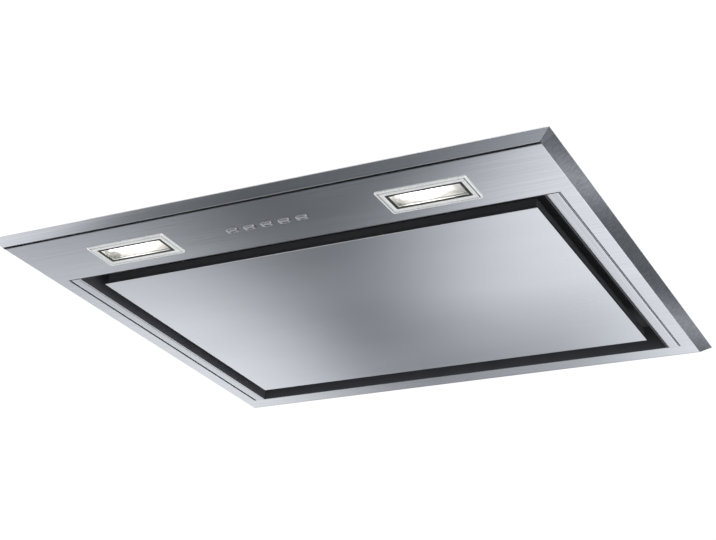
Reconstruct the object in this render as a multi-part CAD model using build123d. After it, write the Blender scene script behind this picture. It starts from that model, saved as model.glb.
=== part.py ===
from build123d import *
from math import asin, atan2, cos, pi, sin, sqrt, tan
import os

# Built-in range hood with a swing-down suction panel, in millimetres.
# The origin is the centre of the underside's box: x right along the front, y back, z up.

# Outside of the hood
hood_width = 598.0
hood_depth = 515.0
rim_height = 9.0
rim_flare = 11.0
sheet = 0.8
bend = 0.5
running_gap = 0.3
pin_gap = 0.05

# Front edge and control zone
front_trim_run = 7.0
front_slot = 3.8
control_depth = 86.6
rim_return = 13.0
rim_root = 8.0
lip_height = 10.0
lip_width = 9.0

# Suction channel, its panel and the strips beside it
channel_width = 516.0
channel_depth = 382.0
gap_side = 15.0
gap_front = 22.6
gap_rear = 24.8
side_trim_width = 13.2
seam = 1.3
frame_height = 28.8
ledge_side = 31.0
ledge_end = 44.0
panel_recess = 1.0
hem_height = 2.0
tray_inset = 2.0
tray_height = 11.0
tray_bead_width = 16.0
tray_bead_rise = 1.5
tray_bead_end = 25.0
tray_bead_pitch = 120.0

# Hinge and catches of the panel
hinge_inset = 10.0
hinge_rise = 16.0
hinge_spread = 380.0
hinge_pin_radius = 2.0
hinge_lug_width = 6.0
hinge_cheek = 1.5
hinge_eye_radius = 4.5
hinge_foot_length = 13.5
hinge_foot_thickness = 3.0
hinge_plate_length = 18.0
hinge_notch = 26.0
catch_spread = 300.0
catch_inset = 10.0
catch_leaf = 1.0
catch_length = 16.0
catch_spring = 3.0
catch_plate_margin = 2.0
tongue_sheet = 2.0
tongue_length = 10.0
tongue_foot_width = 10.0
tongue_rise = 4.0

# Grease filters
filter_gap = 1.0
filter_thickness = 9.0
filter_drop = 3.0
filter_rail = 14.0
filter_latch_rail = 28.0
filter_groove = 4.0
filter_skin = 1.5
pleat_pitch = 8.0
pleat_sheet = 1.0
tab_spread = 110.0
tab_width = 30.0
tab_reach = 8.0
tab_thickness = 1.5
latch_width = 24.0
latch_length = 9.0
latch_wall = 2.0
latch_height = 5.2
latch_travel = 5.0
latch_bolt_width = 12.0
latch_bolt = 1.6
latch_bolt_reach = 4.0

# Boxes above the pan
plenum_height = 60.0
plenum_flange = 24.2
housing_width = 332.0
housing_depth = 221.0
housing_height = 88.0
housing_front = 245.0
housing_flange = 12.0
bead_length = 150.0
bead_width = 8.0
bead_rise = 1.5
bead_pitch = 28.0
bead_spread = 260.0

# Blower
impeller_radius = 75.0
impeller_height = 64.0
impeller_lift = 7.0
impeller_disc = 1.2
blade_count = 24
blade_depth = 12.0
blade_sheet = 0.8
blade_bow = 1.5
blade_hook = 4.0
shaft_radius = 4.0
hub_radius = 10.0
hub_length = 14.0
blower_x = -62.0
blower_y = 355.0
scroll_start = 83.0
scroll_growth = 23.0
scroll_arcs = 5
scroll_wall = 1.5
scroll_height = 82.0
scroll_cut_off = -20.0
inlet_radius = 59.0
inlet_flange = 17.0
inlet_wall = 1.5
inlet_bell = 4.5
inlet_lip = 8.0
motor_radius = 38.0
motor_height = 56.0
motor_band = 4.0
motor_step = 2.0
spider_arms = 3
spider_width = 12.0
spider_sheet = 2.0
spider_disc_radius = 26.0

# Outlet
collar_radius = 59.5
collar_wall = 1.5
collar_rise = 40.0
collar_flange = 9.0
collar_flange_thickness = 1.5
flap_sheet = 1.2
flap_clearance = 0.8
flap_height = 9.0
spindle_radius = 1.5
knuckle_wall = 1.4
knuckle_count = 3
knuckle_span = 88.0
stop_width = 3.0
stop_half = 16.0
boss_depth = 0.7

# Lamps
lamp_spread = 322.0
lamp_setback = 59.5
bezel_width = 91.0
bezel_depth = 43.0
bezel_proud = 1.2
bezel_corner = 1.5
bezel_chamfer = 0.6
lamp_cutout_width = 84.0
lamp_cutout_depth = 37.0
lamp_fit = 0.3
window_width = 74.0
window_depth = 25.0
groove_inset = 2.0
groove_width = 1.0
groove_depth = 1.2
bezel_upstand = 5.0
glass_thickness = 2.0
glass_overlap = 1.5
glass_setback = 3.2
lamp_housing_height = 23.0
reflector_height = 17.5
reflector_top_width = 46.0
reflector_top_depth = 14.0
reflector_sheet = 0.6
bulb_radius = 4.5
bulb_length = 44.0
bulb_rise = 8.5
socket_length = 5.4
socket_width = 12.0
socket_height = 8.0
vent_count = 7
vent_width = 2.5
vent_length = 18.0
vent_pitch = 8.0
clip_sheet = 0.4
clip_width = 12.0
clip_height = 11.5
clip_seat = 5.7
clip_spring = 3.6
clip_reach = 7.2
clip_foot_rise = 1.2

# Push buttons
button_count = 5
button_pitch = 19.3
button_row_x = -7.5
button_setback = 57.0
button_width = 12.5
button_depth = 7.5
button_corner = 2.2
button_proud = 2.0
button_length = 15.0
button_travel = 2.5
button_dimple_radius = 1.3
button_dimple = 0.5
button_fit = 0.3
switch_margin = 9.0
switch_depth = 24.0
switch_height = 25.0
switch_ear = 9.0
switch_ear_depth = 12.0
switch_ear_thickness = 2.5
switch_terminal_width = 27.0
switch_terminal_sheet = 1.0
switch_terminal_rise = 3.0
switch_terminal_spread = 54.0

# Electrical boxes on the plenum
terminal_x = -215.0
terminal_y = 330.0
terminal_width = 62.0
terminal_depth = 80.0
terminal_height = 28.0
terminal_wall = 2.0
terminal_lid = 4.0
gland_radius = 9.0
gland_bore = 4.2
gland_tip_radius = 6.3
gland_length = 20.0
gland_nut_width = 22.0
gland_nut_length = 7.0
gland_cap_flats = 12
capacitor_x = 215.0
capacitor_y = 290.0
capacitor_radius = 15.0
capacitor_height = 52.0
capacitor_edge = 1.5
capacitor_foot_width = 60.0
capacitor_foot_depth = 20.0
capacitor_foot_height = 2.5
capacitor_tab_spread = 10.0
capacitor_tab_width = 6.0
capacitor_tab_sheet = 0.8
capacitor_tab_rise = 8.0
transformer_x = 212.0
transformer_y = 400.0
transformer_width = 44.0
transformer_depth = 96.0
transformer_height = 26.0
transformer_edge = 2.0
transformer_foot_width = 22.0
transformer_foot_reach = 9.0
transformer_foot_height = 2.0

# Cabinet brackets
bracket_length = 300.0
bracket_sheet = 1.5
bracket_reach = 23.4
bracket_bottom = 14.0
bracket_leg = 22.0
bracket_rise = 12.0
bracket_hole_radius = 2.6
bracket_hole_pitch = 240.0

# Levels and lines that follow from the sizes above
face_z = button_proud
rim_top = face_z + rim_height
lip_top = face_z + lip_height
plenum_top = lip_top + plenum_height
housing_top = plenum_top + housing_height
collar_top = housing_top + collar_rise
front = -hood_depth / 2
slot_back = front + front_trim_run + front_slot
channel_front = slot_back + control_depth
channel_back = channel_front + channel_depth
underside_back = hood_depth / 2 - rim_flare
face_half = hood_width / 2 - rim_flare
channel_half = channel_width / 2
frame_half = channel_half + sheet
frame_front = channel_front - sheet
frame_back = channel_back + sheet
trim_half = frame_half + side_trim_width
opening_half = trim_half + seam
opening_front = frame_front - running_gap
opening_back = frame_back + running_gap
ledge_z = face_z + frame_height
panel_half = channel_half - gap_side
panel_front = channel_front + gap_front
panel_back = channel_back - gap_rear
panel_z = face_z + panel_recess
hinge_y = panel_back - hinge_inset
hinge_z = face_z + hinge_rise
tray_z = panel_z + sheet
plenum_half = frame_half + sheet
plenum_front = frame_front - sheet
plenum_back = frame_back + sheet
flange_front = opening_front - sheet - lip_width
flange_back = opening_back + sheet + lip_width
housing_y = front + housing_front
housing_back = housing_y + housing_depth
wheel_y = front + blower_y
scroll_z = plenum_top
wheel_z = scroll_z + impeller_lift
wheel_top = wheel_z + impeller_height
exit_half = collar_radius + collar_flange / 2
scroll_reach = scroll_start + scroll_growth
duct_y = wheel_y + scroll_reach - scroll_wall - exit_half
duct_x = blower_x + sqrt(scroll_start**2 - scroll_cut_off**2) + exit_half + scroll_wall
duct_end = duct_x + exit_half
scroll_top = scroll_z + scroll_height
flap_z = housing_top + flap_height
inlet_z = plenum_top - sheet - inlet_wall
inlet_hole = inlet_radius + inlet_wall + running_gap
spindle_half = collar_radius - collar_wall - stop_width
filter_hole_half = channel_half - ledge_side
filter_hole_front = channel_front + ledge_end
filter_hole_back = channel_back - ledge_end
filter_x0 = filter_gap
filter_x1 = filter_hole_half - filter_gap
filter_y0 = filter_hole_front + filter_gap
filter_y1 = filter_hole_back - filter_gap
filter_z = ledge_z - sheet - filter_drop
filter_top = filter_z + filter_thickness
latch_x = (filter_x0 + filter_x1) / 2
latch_y = filter_y0 + filter_rail / 2
bolt_z = ledge_z + running_gap
lamp_y = front + lamp_setback
glass_z = face_z - bezel_proud + glass_setback
bulb_z = glass_z + glass_thickness + bulb_rise
button_y = front + button_setback
button_first_x = button_row_x - button_pitch * (button_count - 1) / 2
switch_half = (button_pitch * (button_count - 1) + button_width) / 2 + switch_margin
terminal_middle = front + terminal_y
gland_z = plenum_top + terminal_height / 2
bracket_z = face_z + bracket_bottom
bracket_web_z = bracket_z + bracket_leg
bracket_middle = (channel_front + channel_back) / 2


def block(x0, x1, y0, y1, z0, z1):
    """Box between two opposite corners."""
    size = Box(abs(x1 - x0), abs(y1 - y0), abs(z1 - z0))
    return Pos((x0 + x1) / 2, (y0 + y1) / 2, (z0 + z1) / 2) * size


def slab(x, y, width, depth, z0, z1):
    """Upright block centred on x and y."""
    return block(x - width / 2, x + width / 2, y - depth / 2, y + depth / 2, z0, z1)


def rounded_block(x, y, width, depth, z0, z1, corner):
    """Upright block with rounded corners in plan, centred on x and y."""
    outline = RectangleRounded(width, depth, corner)
    return Pos(x, y, z0) * extrude(outline, amount=z1 - z0)


def disc(x, y, radius, z0, z1):
    """Upright round disc or rod."""
    return Pos(x, y, (z0 + z1) / 2) * Cylinder(radius, z1 - z0)


def bent_sheet(points, plane, length, thickness=sheet):
    """Folded strip: its outside face follows the points, and its inside lies to their left."""
    path = FilletPolyline(*points, radius=bend)
    section = make_face(offset(path, amount=thickness, side=Side.LEFT))
    return extrude(plane * section, amount=length, both=True)


def cut_back(solid, point, normal):
    """Keep the side of a mitre plane that its normal points away from."""
    return split(solid, bisect_by=Plane(origin=point, z_dir=normal), keep=Keep.BOTTOM)


def both_sides(part):
    """A part and its mirror image about the hood's middle plane."""
    return part + mirror(part, Plane.YZ)


def tip_allowance(run):
    """How far the rounded tip of a flared rim falls short of its sharp corner, closed in on by steps."""
    allowance = 0.0
    for _ in range(8):
        allowance = bend * (1 / tan(atan2(rim_height, run + allowance) / 2) - 1)
    return allowance


def rim_section(base, run):
    """Outside line of a flared rim: underside, flare, and the flange folded back inwards."""
    tip = base + run + tip_allowance(run)
    return [(base - rim_root, face_z), (base, face_z), (tip, rim_top), (tip - rim_return, rim_top)]


def pan_rims():
    """Flared left, right and rear rims of the pan, mitred at the corners."""
    side_rim = bent_sheet(rim_section(face_half, rim_flare), Plane.XZ, hood_depth)
    side_rim = cut_back(side_rim, (face_half, underside_back, 0), (-1, 1, 0))
    side_rim = cut_back(side_rim, (face_half, front + front_trim_run, 0), (-front_trim_run, -rim_flare, 0))
    back_rim = bent_sheet(rim_section(underside_back, rim_flare), Plane.YZ, hood_width)
    back_rim = cut_back(back_rim, (face_half, underside_back, 0), (1, -1, 0))
    back_rim = cut_back(back_rim, (-face_half, underside_back, 0), (-1, -1, 0))
    return both_sides(side_rim) + back_rim


def pan_lips():
    """Lips folded up round the big opening and turned outwards under the plenum's flange."""
    turn = lip_width + sheet
    under = lip_top - sheet
    corner = opening_half + sheet
    side_lip = block(opening_half, opening_half + sheet, opening_front, opening_back, face_z, lip_top)
    side_lip += block(opening_half, opening_half + turn, opening_front, opening_back, under, lip_top)
    front_lip = block(-corner, corner, opening_front - sheet, opening_front, face_z, lip_top)
    front_lip += block(-opening_half, opening_half, opening_front - turn, opening_front, under, lip_top)
    back_lip = block(-corner, corner, opening_back, opening_back + sheet, face_z, lip_top)
    back_lip += block(-opening_half, opening_half, opening_back, opening_back + turn, under, lip_top)
    return both_sides(side_lip) + front_lip + back_lip


def pan_front_fold():
    """Fold behind the dark front slot, its top turned back under the front strip's flange."""
    half = face_half - rim_return
    top = rim_top - sheet
    upright = block(-half, half, slot_back, slot_back + sheet, face_z, top)
    return upright + block(-half, half, slot_back, slot_back + lip_width, top - sheet, top)


def underside_pan():
    """Pressed steel underside with flared rims, folded lips and all cut-outs."""
    pan = block(-face_half, face_half, slot_back, underside_back, face_z, face_z + sheet) + pan_rims()
    pan -= block(-face_half, face_half, front, slot_back, face_z - sheet, rim_top - 2 * sheet)
    pan -= block(-opening_half, opening_half, opening_front, opening_back, 0, lip_top)
    pan = pan + pan_lips() + pan_front_fold()
    for side in (-1, 1):
        x = side * lamp_spread / 2
        pan -= slab(x, lamp_y, lamp_cutout_width, lamp_cutout_depth, 0, lip_top)
    hole_width = button_width + 2 * button_fit
    hole_depth = button_depth + 2 * button_fit
    for place in range(button_count):
        x = button_first_x + place * button_pitch
        pan -= rounded_block(x, button_y, hole_width, hole_depth, 0, lip_top, button_corner + button_fit)
    return pan


def front_trim():
    """Bevelled strip along the front, its top flange lying on the pan's front fold."""
    trim = bent_sheet(rim_section(0, front_trim_run)[1:], Plane.YZ, hood_width)
    trim = Pos(0, front + front_trim_run, 0) * Rot(0, 0, 180) * trim
    mitre_half = face_half - running_gap
    trim = cut_back(trim, (mitre_half, front + front_trim_run, 0), (front_trim_run, rim_flare, 0))
    return cut_back(trim, (-mitre_half, front + front_trim_run, 0), (-front_trim_run, rim_flare, 0))


def side_trim(side):
    """Narrow strip beside the suction channel, a channel section with its legs up."""
    y0 = opening_front + seam
    y1 = opening_back - running_gap / 2
    strip = block(frame_half, trim_half, y0, y1, face_z, lip_top)
    strip -= block(frame_half + sheet, trim_half - sheet, y0, y1, face_z + sheet, lip_top)
    return mirror(strip, Plane.YZ) if side < 0 else strip


def suction_frame():
    """Black frame of the suction channel: an upright wall with a wide ledge turned inwards."""
    frame = block(-frame_half, frame_half, frame_front, frame_back, face_z, ledge_z)
    frame -= block(-channel_half, channel_half, channel_front, channel_back, face_z, ledge_z - sheet)
    hole = block(
        -filter_hole_half, filter_hole_half, filter_hole_front, filter_hole_back, face_z, ledge_z
    )
    return frame - hole


def panel_skin():
    """Steel face of the suction panel with a low folded hem."""
    skin = block(-panel_half, panel_half, panel_front, panel_back, panel_z, panel_z + hem_height)
    half = panel_half - sheet
    top = panel_z + hem_height
    return skin - block(-half, half, panel_front + sheet, panel_back - sheet, panel_z + sheet, top)


def panel_tray():
    """Black stiffening tray on the back of the panel, notched at the hinges."""
    half = panel_half - tray_inset
    y0 = panel_front + tray_inset
    y1 = panel_back - tray_inset
    floor_z = tray_z + sheet
    top = tray_z + tray_height
    tray = block(-half, half, y0, y1, tray_z, top)
    tray -= block(-half + sheet, half - sheet, y0 + sheet, y1 - sheet, floor_z, top)
    for side in (-1, 1):
        x = side * hinge_spread / 2
        tray -= block(x - hinge_notch / 2, x + hinge_notch / 2, y1 - sheet, y1, floor_z, top)
    bead_length_y = y1 - y0 - 2 * tray_bead_end
    for place in (-1, 0, 1):
        x = place * tray_bead_pitch
        tray += slab(x, (y0 + y1) / 2, tray_bead_width, bead_length_y, floor_z, floor_z + tray_bead_rise)
    return tray


def hinge_lug(side):
    """Lug on the panel that turns on the hinge pin."""
    x = side * hinge_spread / 2
    half = hinge_lug_width / 2
    foot_z = tray_z + sheet
    lug = block(x - half, x + half, hinge_y - hinge_eye_radius, hinge_y + hinge_eye_radius, foot_z, hinge_z)
    axis = Pos(x, hinge_y, hinge_z) * Rot(0, 90, 0)
    lug += axis * Cylinder(hinge_eye_radius, hinge_lug_width)
    foot_y = hinge_y - hinge_foot_length
    lug += block(x - half, x + half, foot_y, hinge_y, foot_z, foot_z + hinge_foot_thickness)
    return lug - axis * Cylinder(hinge_pin_radius + pin_gap, hinge_lug_width)


def hinge_bracket(side):
    """U bracket under the ledge whose two cheeks hold the hinge pin."""
    x = side * hinge_spread / 2
    inner = hinge_lug_width / 2 + running_gap
    outer = inner + hinge_cheek
    top = ledge_z - sheet
    y0 = hinge_y - hinge_plate_length / 2
    y1 = hinge_y + hinge_plate_length / 2
    cheek_y0 = hinge_y - hinge_eye_radius
    cheek_y1 = hinge_y + hinge_eye_radius
    cheek_z = hinge_z - hinge_eye_radius
    bracket = block(x - outer, x + outer, y0, y1, top - hinge_cheek, top)
    for way in (-1, 1):
        bracket += block(x + way * inner, x + way * outer, cheek_y0, cheek_y1, cheek_z, top)
    bracket -= Pos(x, hinge_y, hinge_z) * Rot(0, 90, 0) * Cylinder(hinge_pin_radius + pin_gap, 2 * outer)
    return bracket


def hinge_pin(side):
    """Steel pin through the bracket and the lug."""
    x = side * hinge_spread / 2
    length = hinge_lug_width + 2 * running_gap + 2 * hinge_cheek
    return Pos(x, hinge_y, hinge_z) * Rot(0, 90, 0) * Cylinder(hinge_pin_radius, length)


def panel_catch(side):
    """Two spring leaves under the ledge that pinch the panel's tongue."""
    x = side * catch_spread / 2
    y = panel_front + catch_inset
    inner = tongue_sheet / 2 + running_gap
    outer = inner + catch_spring
    plate_half = outer + catch_leaf + catch_plate_margin
    top = ledge_z - sheet
    catch = slab(x, y, 2 * plate_half, catch_length, top - catch_leaf, top)
    for way in (-1, 1):
        path = [
            (x + way * outer, top),
            (x + way * outer, hinge_z + catch_spring),
            (x + way * inner, hinge_z),
            (x + way * outer, hinge_z - catch_spring),
        ]
        leaf = Polyline(*(path if way < 0 else reversed(path)))
        section = make_face(offset(leaf, amount=catch_leaf, side=Side.RIGHT))
        catch += Pos(0, y, 0) * extrude(Plane.XZ * section, amount=catch_length / 2, both=True)
    return catch


def catch_tongue(side):
    """Tongue on the panel that clips between the catch's leaves."""
    x = side * catch_spread / 2
    y0 = panel_front + catch_inset - tongue_length / 2
    y1 = y0 + tongue_length
    foot_z = tray_z + sheet
    tongue = block(x - tongue_sheet / 2, x + tongue_sheet / 2, y0, y1, foot_z, hinge_z + tongue_rise)
    foot_half = tongue_foot_width / 2
    return tongue + block(x - foot_half, x + foot_half, y0, y1, foot_z, foot_z + tongue_sheet)


def filter_frame():
    """Right-hand filter frame of aluminium rail, with the latch pocket in its front rail."""
    frame = block(filter_x0, filter_x1, filter_y0, filter_y1, filter_z, filter_top)
    window_x0 = filter_x0 + filter_rail
    window_x1 = filter_x1 - filter_rail
    window_y0 = filter_y0 + filter_latch_rail
    window_y1 = filter_y1 - filter_rail
    frame -= block(window_x0, window_x1, window_y0, window_y1, filter_z, filter_top)
    frame -= block(
        window_x0 - filter_groove,
        window_x1 + filter_groove,
        window_y0 - filter_groove,
        window_y1 + filter_groove,
        filter_z + filter_skin,
        filter_top - filter_skin,
    )
    for way in (-1, 1):
        x = latch_x + way * tab_spread / 2
        tab_y = filter_y1 + tab_reach / 2
        frame += slab(x, tab_y, tab_width, tab_reach, ledge_z, ledge_z + tab_thickness)
    pocket_half = latch_width / 2 + running_gap
    pocket_back = latch_y + latch_length + latch_travel + running_gap
    bolt_top = bolt_z + latch_bolt + running_gap
    frame -= block(
        latch_x - pocket_half, latch_x + pocket_half, latch_y - running_gap, pocket_back, filter_z, bolt_top
    )
    slot_half = latch_bolt_width / 2 + running_gap
    return frame - block(
        latch_x - slot_half, latch_x + slot_half, filter_y0, latch_y, bolt_z - running_gap, bolt_top
    )


def filter_mesh():
    """Pleated grease mesh captured in the frame's groove."""
    x0 = filter_x0 + filter_rail - filter_groove + running_gap
    x1 = filter_x1 - filter_rail + filter_groove - running_gap
    y0 = filter_y0 + filter_latch_rail - filter_groove + running_gap
    y1 = filter_y1 - filter_rail + filter_groove - running_gap
    low = filter_z + filter_skin + running_gap
    high = filter_top - filter_skin - running_gap - pleat_sheet
    count = int((x1 - x0) / pleat_pitch)
    step = (x1 - x0) / count
    path = [(x0 + i * step, low if i % 2 == 0 else high) for i in range(count + 1)]
    upper = [(x, z + pleat_sheet) for x, z in reversed(path)]
    section = make_face(Polyline(*path, *upper, close=True))
    return Pos(0, (y0 + y1) / 2, 0) * extrude(Plane.XZ * section, amount=(y1 - y0) / 2, both=True)


def filter_latch():
    """Spring latch: a finger slide in the frame's pocket with a bolt over the ledge."""
    middle = latch_y + latch_length / 2
    top = bolt_z + latch_bolt
    low = top - latch_height
    slide = slab(latch_x, middle, latch_width, latch_length, low, top)
    slide -= slab(latch_x, middle, latch_width - 2 * latch_wall, latch_length - 2 * latch_wall, low, bolt_z)
    bolt_half = latch_bolt_width / 2
    bolt_y = filter_hole_front + filter_gap - latch_bolt_reach
    return slide + block(latch_x - bolt_half, latch_x + bolt_half, bolt_y, latch_y, bolt_z, top)


def bead(x, y, z):
    """Stiffening bead pressed up from a sheet, to be added outside and cut away inside."""
    low = Rectangle(bead_length, bead_width)
    high = Rectangle(bead_length - 2 * bead_rise, bead_width - 2 * bead_rise)
    return Pos(x, y, z) * loft([low, Pos(0, 0, bead_rise) * high])


def folded_box(half, foot, y0, y1, z0, z1):
    """Hat of folded sheet with a foot flange left and right, closed at both ends by a plate."""
    base = z0 + sheet
    points = [(half + foot, base), (half, base), (half, z1), (-half, z1), (-half, base), (-half - foot, base)]
    hat = Pos(0, (y0 + y1) / 2, 0) * bent_sheet(points, Plane.XZ, (y1 - y0) / 2)
    ends = block(-half + sheet, half - sheet, y0, y0 + sheet, z0, z1 - sheet)
    return hat + ends + block(-half + sheet, half - sheet, y1 - sheet, y1, z0, z1 - sheet)


def plenum_box():
    """Folded steel plenum over the filters, with a flange all round and a round inlet hole."""
    box = folded_box(plenum_half, plenum_flange, plenum_front, plenum_back, lip_top, plenum_top)
    wide = plenum_half + plenum_flange
    for y0, y1 in ((flange_front, plenum_front + sheet), (plenum_back - sheet, flange_back)):
        box += block(-wide, wide, y0, y1, lip_top, lip_top + sheet)
    bead_y = (plenum_front + housing_y) / 2
    for row in (-1, 0, 1):
        for way in (-1, 1):
            raised = bead(way * bead_spread / 2, bead_y + row * bead_pitch, plenum_top)
            box += raised
            box -= Pos(0, 0, -sheet) * raised
    return box - disc(blower_x, wheel_y, inlet_hole, plenum_top - sheet, plenum_top)


def motor_housing():
    """Folded steel box over the blower, with foot flanges and the outlet hole."""
    half = housing_width / 2
    box = folded_box(half, housing_flange, housing_y, housing_back, plenum_top, housing_top)
    wide = half + housing_flange
    box += block(-wide, wide, housing_y - housing_flange, housing_y + sheet, plenum_top, plenum_top + sheet)
    bead_y = (housing_y + housing_back) / 2
    for row in (-1, 0, 1):
        raised = bead(blower_x - bead_width, bead_y + row * bead_pitch, housing_top)
        box += raised
        box -= Pos(0, 0, -sheet) * raised
    return box - disc(duct_x, duct_y, collar_radius + running_gap, housing_top - sheet, housing_top)


def scroll_outline(inset):
    """Volute in plan: a spiral round the wheel that opens into a straight duct under the collar."""
    start = asin((scroll_cut_off + inset) / (scroll_start - inset))
    sweep = 3 * pi / 2 + start
    spiral = []
    for i in range(2 * scroll_arcs + 1):
        share = i / (2 * scroll_arcs)
        angle = start - share * sweep
        reach = scroll_start + share * scroll_growth - inset
        spiral.append((blower_x + reach * cos(angle), wheel_y + reach * sin(angle)))
    arcs = [ThreePointArc(*spiral[2 * i : 2 * i + 3]) for i in range(scroll_arcs)]
    end_x = duct_end + scroll_wall - inset
    rest = Polyline(spiral[-1], (end_x, spiral[-1][1]), (end_x, spiral[0][1]), spiral[0])
    return make_face(Wire([arc.edge() for arc in arcs] + list(rest.edges())))


def scroll_base():
    """Scroll housing with its floor and its spiral wall."""
    floor_z = scroll_z + scroll_wall
    body = Pos(0, 0, scroll_z) * extrude(scroll_outline(0), amount=scroll_height - scroll_wall, dir=(0, 0, 1))
    body -= Pos(0, 0, floor_z) * extrude(scroll_outline(scroll_wall), amount=scroll_height, dir=(0, 0, 1))
    return body - disc(blower_x, wheel_y, inlet_hole, scroll_z, floor_z)


def scroll_cover():
    """Flat cover of the scroll with the outlet hole."""
    low = scroll_top - scroll_wall
    cover = Pos(0, 0, low) * extrude(scroll_outline(0), amount=scroll_wall, dir=(0, 0, 1))
    return cover - disc(duct_x, duct_y, collar_radius - collar_wall, low, scroll_top)


def inlet_ring():
    """Bell-mouthed inlet ring under the plenum's top, its throat reaching into the wheel."""
    flange_z = inlet_z + inlet_wall
    outer = inlet_radius + inlet_flange
    throat = wheel_z + inlet_lip
    with_wall = inlet_radius + inlet_wall
    section = Polyline(
        (inlet_radius + inlet_bell, inlet_z),
        (outer, inlet_z),
        (outer, flange_z),
        (with_wall, flange_z),
        (with_wall, throat),
        (inlet_radius, throat),
        (inlet_radius, inlet_z + inlet_bell),
        close=True,
    )
    ring = revolve(Plane.XZ * make_face(section), Axis.Z)
    return Pos(blower_x, wheel_y, 0) * ring


def impeller():
    """Centrifugal wheel: forward-curved blades between a top disc with a hub and a bottom ring."""
    inner = impeller_radius - blade_depth
    disc_z = wheel_z + impeller_height - impeller_disc
    wheel = Pos(0, 0, disc_z + impeller_disc / 2) * Cylinder(impeller_radius, impeller_disc)
    wheel += Pos(0, 0, disc_z - hub_length / 2) * Cylinder(hub_radius, hub_length)
    ring = Cylinder(impeller_radius, impeller_disc) - Cylinder(inner, impeller_disc)
    wheel += Pos(0, 0, wheel_z + impeller_disc / 2) * ring
    tip = impeller_radius - blade_sheet
    back = ThreePointArc((inner, 0), ((inner + tip) / 2, blade_hook / 2 - blade_bow), (tip, blade_hook))
    blade = make_face(offset(back, amount=blade_sheet, side=Side.LEFT))
    blade = Pos(0, 0, wheel_z + impeller_disc / 2) * extrude(blade, amount=impeller_height - impeller_disc)
    wheel = wheel + [Rot(0, 0, 360 * i / blade_count) * blade for i in range(blade_count)]
    wheel -= Pos(0, 0, disc_z - hub_length / 2) * Cylinder(shaft_radius + pin_gap, 2 * hub_length)
    return Pos(blower_x, wheel_y, 0) * wheel


def motor_parts():
    """Motor can with a stepped end and a shaft bore, and the shaft that the wheel sits on."""
    top = inlet_z + motor_height
    can = disc(blower_x, wheel_y, motor_radius, inlet_z, top - motor_band)
    can += disc(blower_x, wheel_y, motor_radius - motor_step, top - motor_band, top)
    can -= disc(blower_x, wheel_y, shaft_radius + pin_gap, inlet_z + motor_band, top)
    shaft = disc(blower_x, wheel_y, shaft_radius, inlet_z + motor_band + running_gap, wheel_top)
    return can, shaft


def motor_bracket():
    """Armed spider that carries the motor in the inlet."""
    bottom = inlet_z - spider_sheet
    spider = disc(0, 0, spider_disc_radius, bottom, inlet_z)
    reach = inlet_radius + inlet_flange
    for arm in range(spider_arms):
        bar = block(0, reach, -spider_width / 2, spider_width / 2, bottom, inlet_z)
        spider += Rot(0, 0, 90 + 360 * arm / spider_arms) * bar
    return Pos(blower_x, wheel_y, 0) * spider


def duct_collar():
    """Outlet collar with a square seat flange, a stop for each flap and two spindle bosses."""
    inner = collar_radius - collar_wall
    joined = inner + boss_depth
    flange_side = 2 * (collar_radius + collar_flange)
    collar = disc(0, 0, collar_radius, scroll_top, collar_top)
    collar += slab(0, 0, flange_side, flange_side, housing_top, housing_top + collar_flange_thickness)
    collar -= disc(0, 0, inner, scroll_top, collar_top)
    stop_z = flap_z - flap_sheet / 2 - pin_gap
    stop_low = stop_z - stop_width
    boss_half = knuckle_wall + spindle_radius
    boss_start = knuckle_span / 2 + running_gap
    for way in (-1, 1):
        stops = block(way * (inner - stop_width), way * joined, -stop_half, stop_half, stop_low, stop_z)
        boss = block(-boss_half, boss_half, way * boss_start, way * joined, stop_low, flap_z + boss_half)
        collar += (stops + boss) & disc(0, 0, joined, stop_low, collar_top)
    collar -= Pos(0, 0, flap_z) * Rot(90, 0, 0) * Cylinder(spindle_radius + pin_gap, 2 * spindle_half)
    return Pos(duct_x, duct_y, 0) * collar


def flap_spindle():
    """Steel rod across the collar that both flaps turn on."""
    rod = Rot(90, 0, 0) * Cylinder(spindle_radius, 2 * (spindle_half - pin_gap))
    return Pos(duct_x, duct_y, flap_z) * rod


def flap(side):
    """Half-round non-return flap with its share of the hinge knuckles."""
    radius = collar_radius - collar_wall - flap_clearance
    knuckle_radius = spindle_radius + knuckle_wall
    pitch = knuckle_span / knuckle_count
    lift = flap_sheet / 2
    room_half = knuckle_radius + running_gap
    boss_room = 2**0.5 * knuckle_radius + flap_clearance
    plate = disc(0, 0, radius, -lift, lift)
    plate = plate & block(0, side * 2 * radius, -radius, radius, -lift, lift)
    plate -= block(-boss_room, boss_room, knuckle_span / 2, radius, -lift, lift)
    plate -= block(-boss_room, boss_room, -radius, -knuckle_span / 2, -lift, lift)
    for place in range(knuckle_count):
        start = -knuckle_span / 2 + place * pitch
        middle = start + pitch / 2
        own = (place % 2 == 0) == (side < 0)
        if own:
            knuckle = Pos(0, middle, 0) * Rot(90, 0, 0) * Cylinder(knuckle_radius, pitch - 2 * running_gap)
            plate += knuckle
        else:
            plate -= slab(0, middle, 2 * room_half, pitch, -room_half, room_half)
    plate -= Rot(90, 0, 0) * Cylinder(spindle_radius + pin_gap, 2 * radius)
    return Pos(duct_x, duct_y, flap_z) * plate


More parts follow.
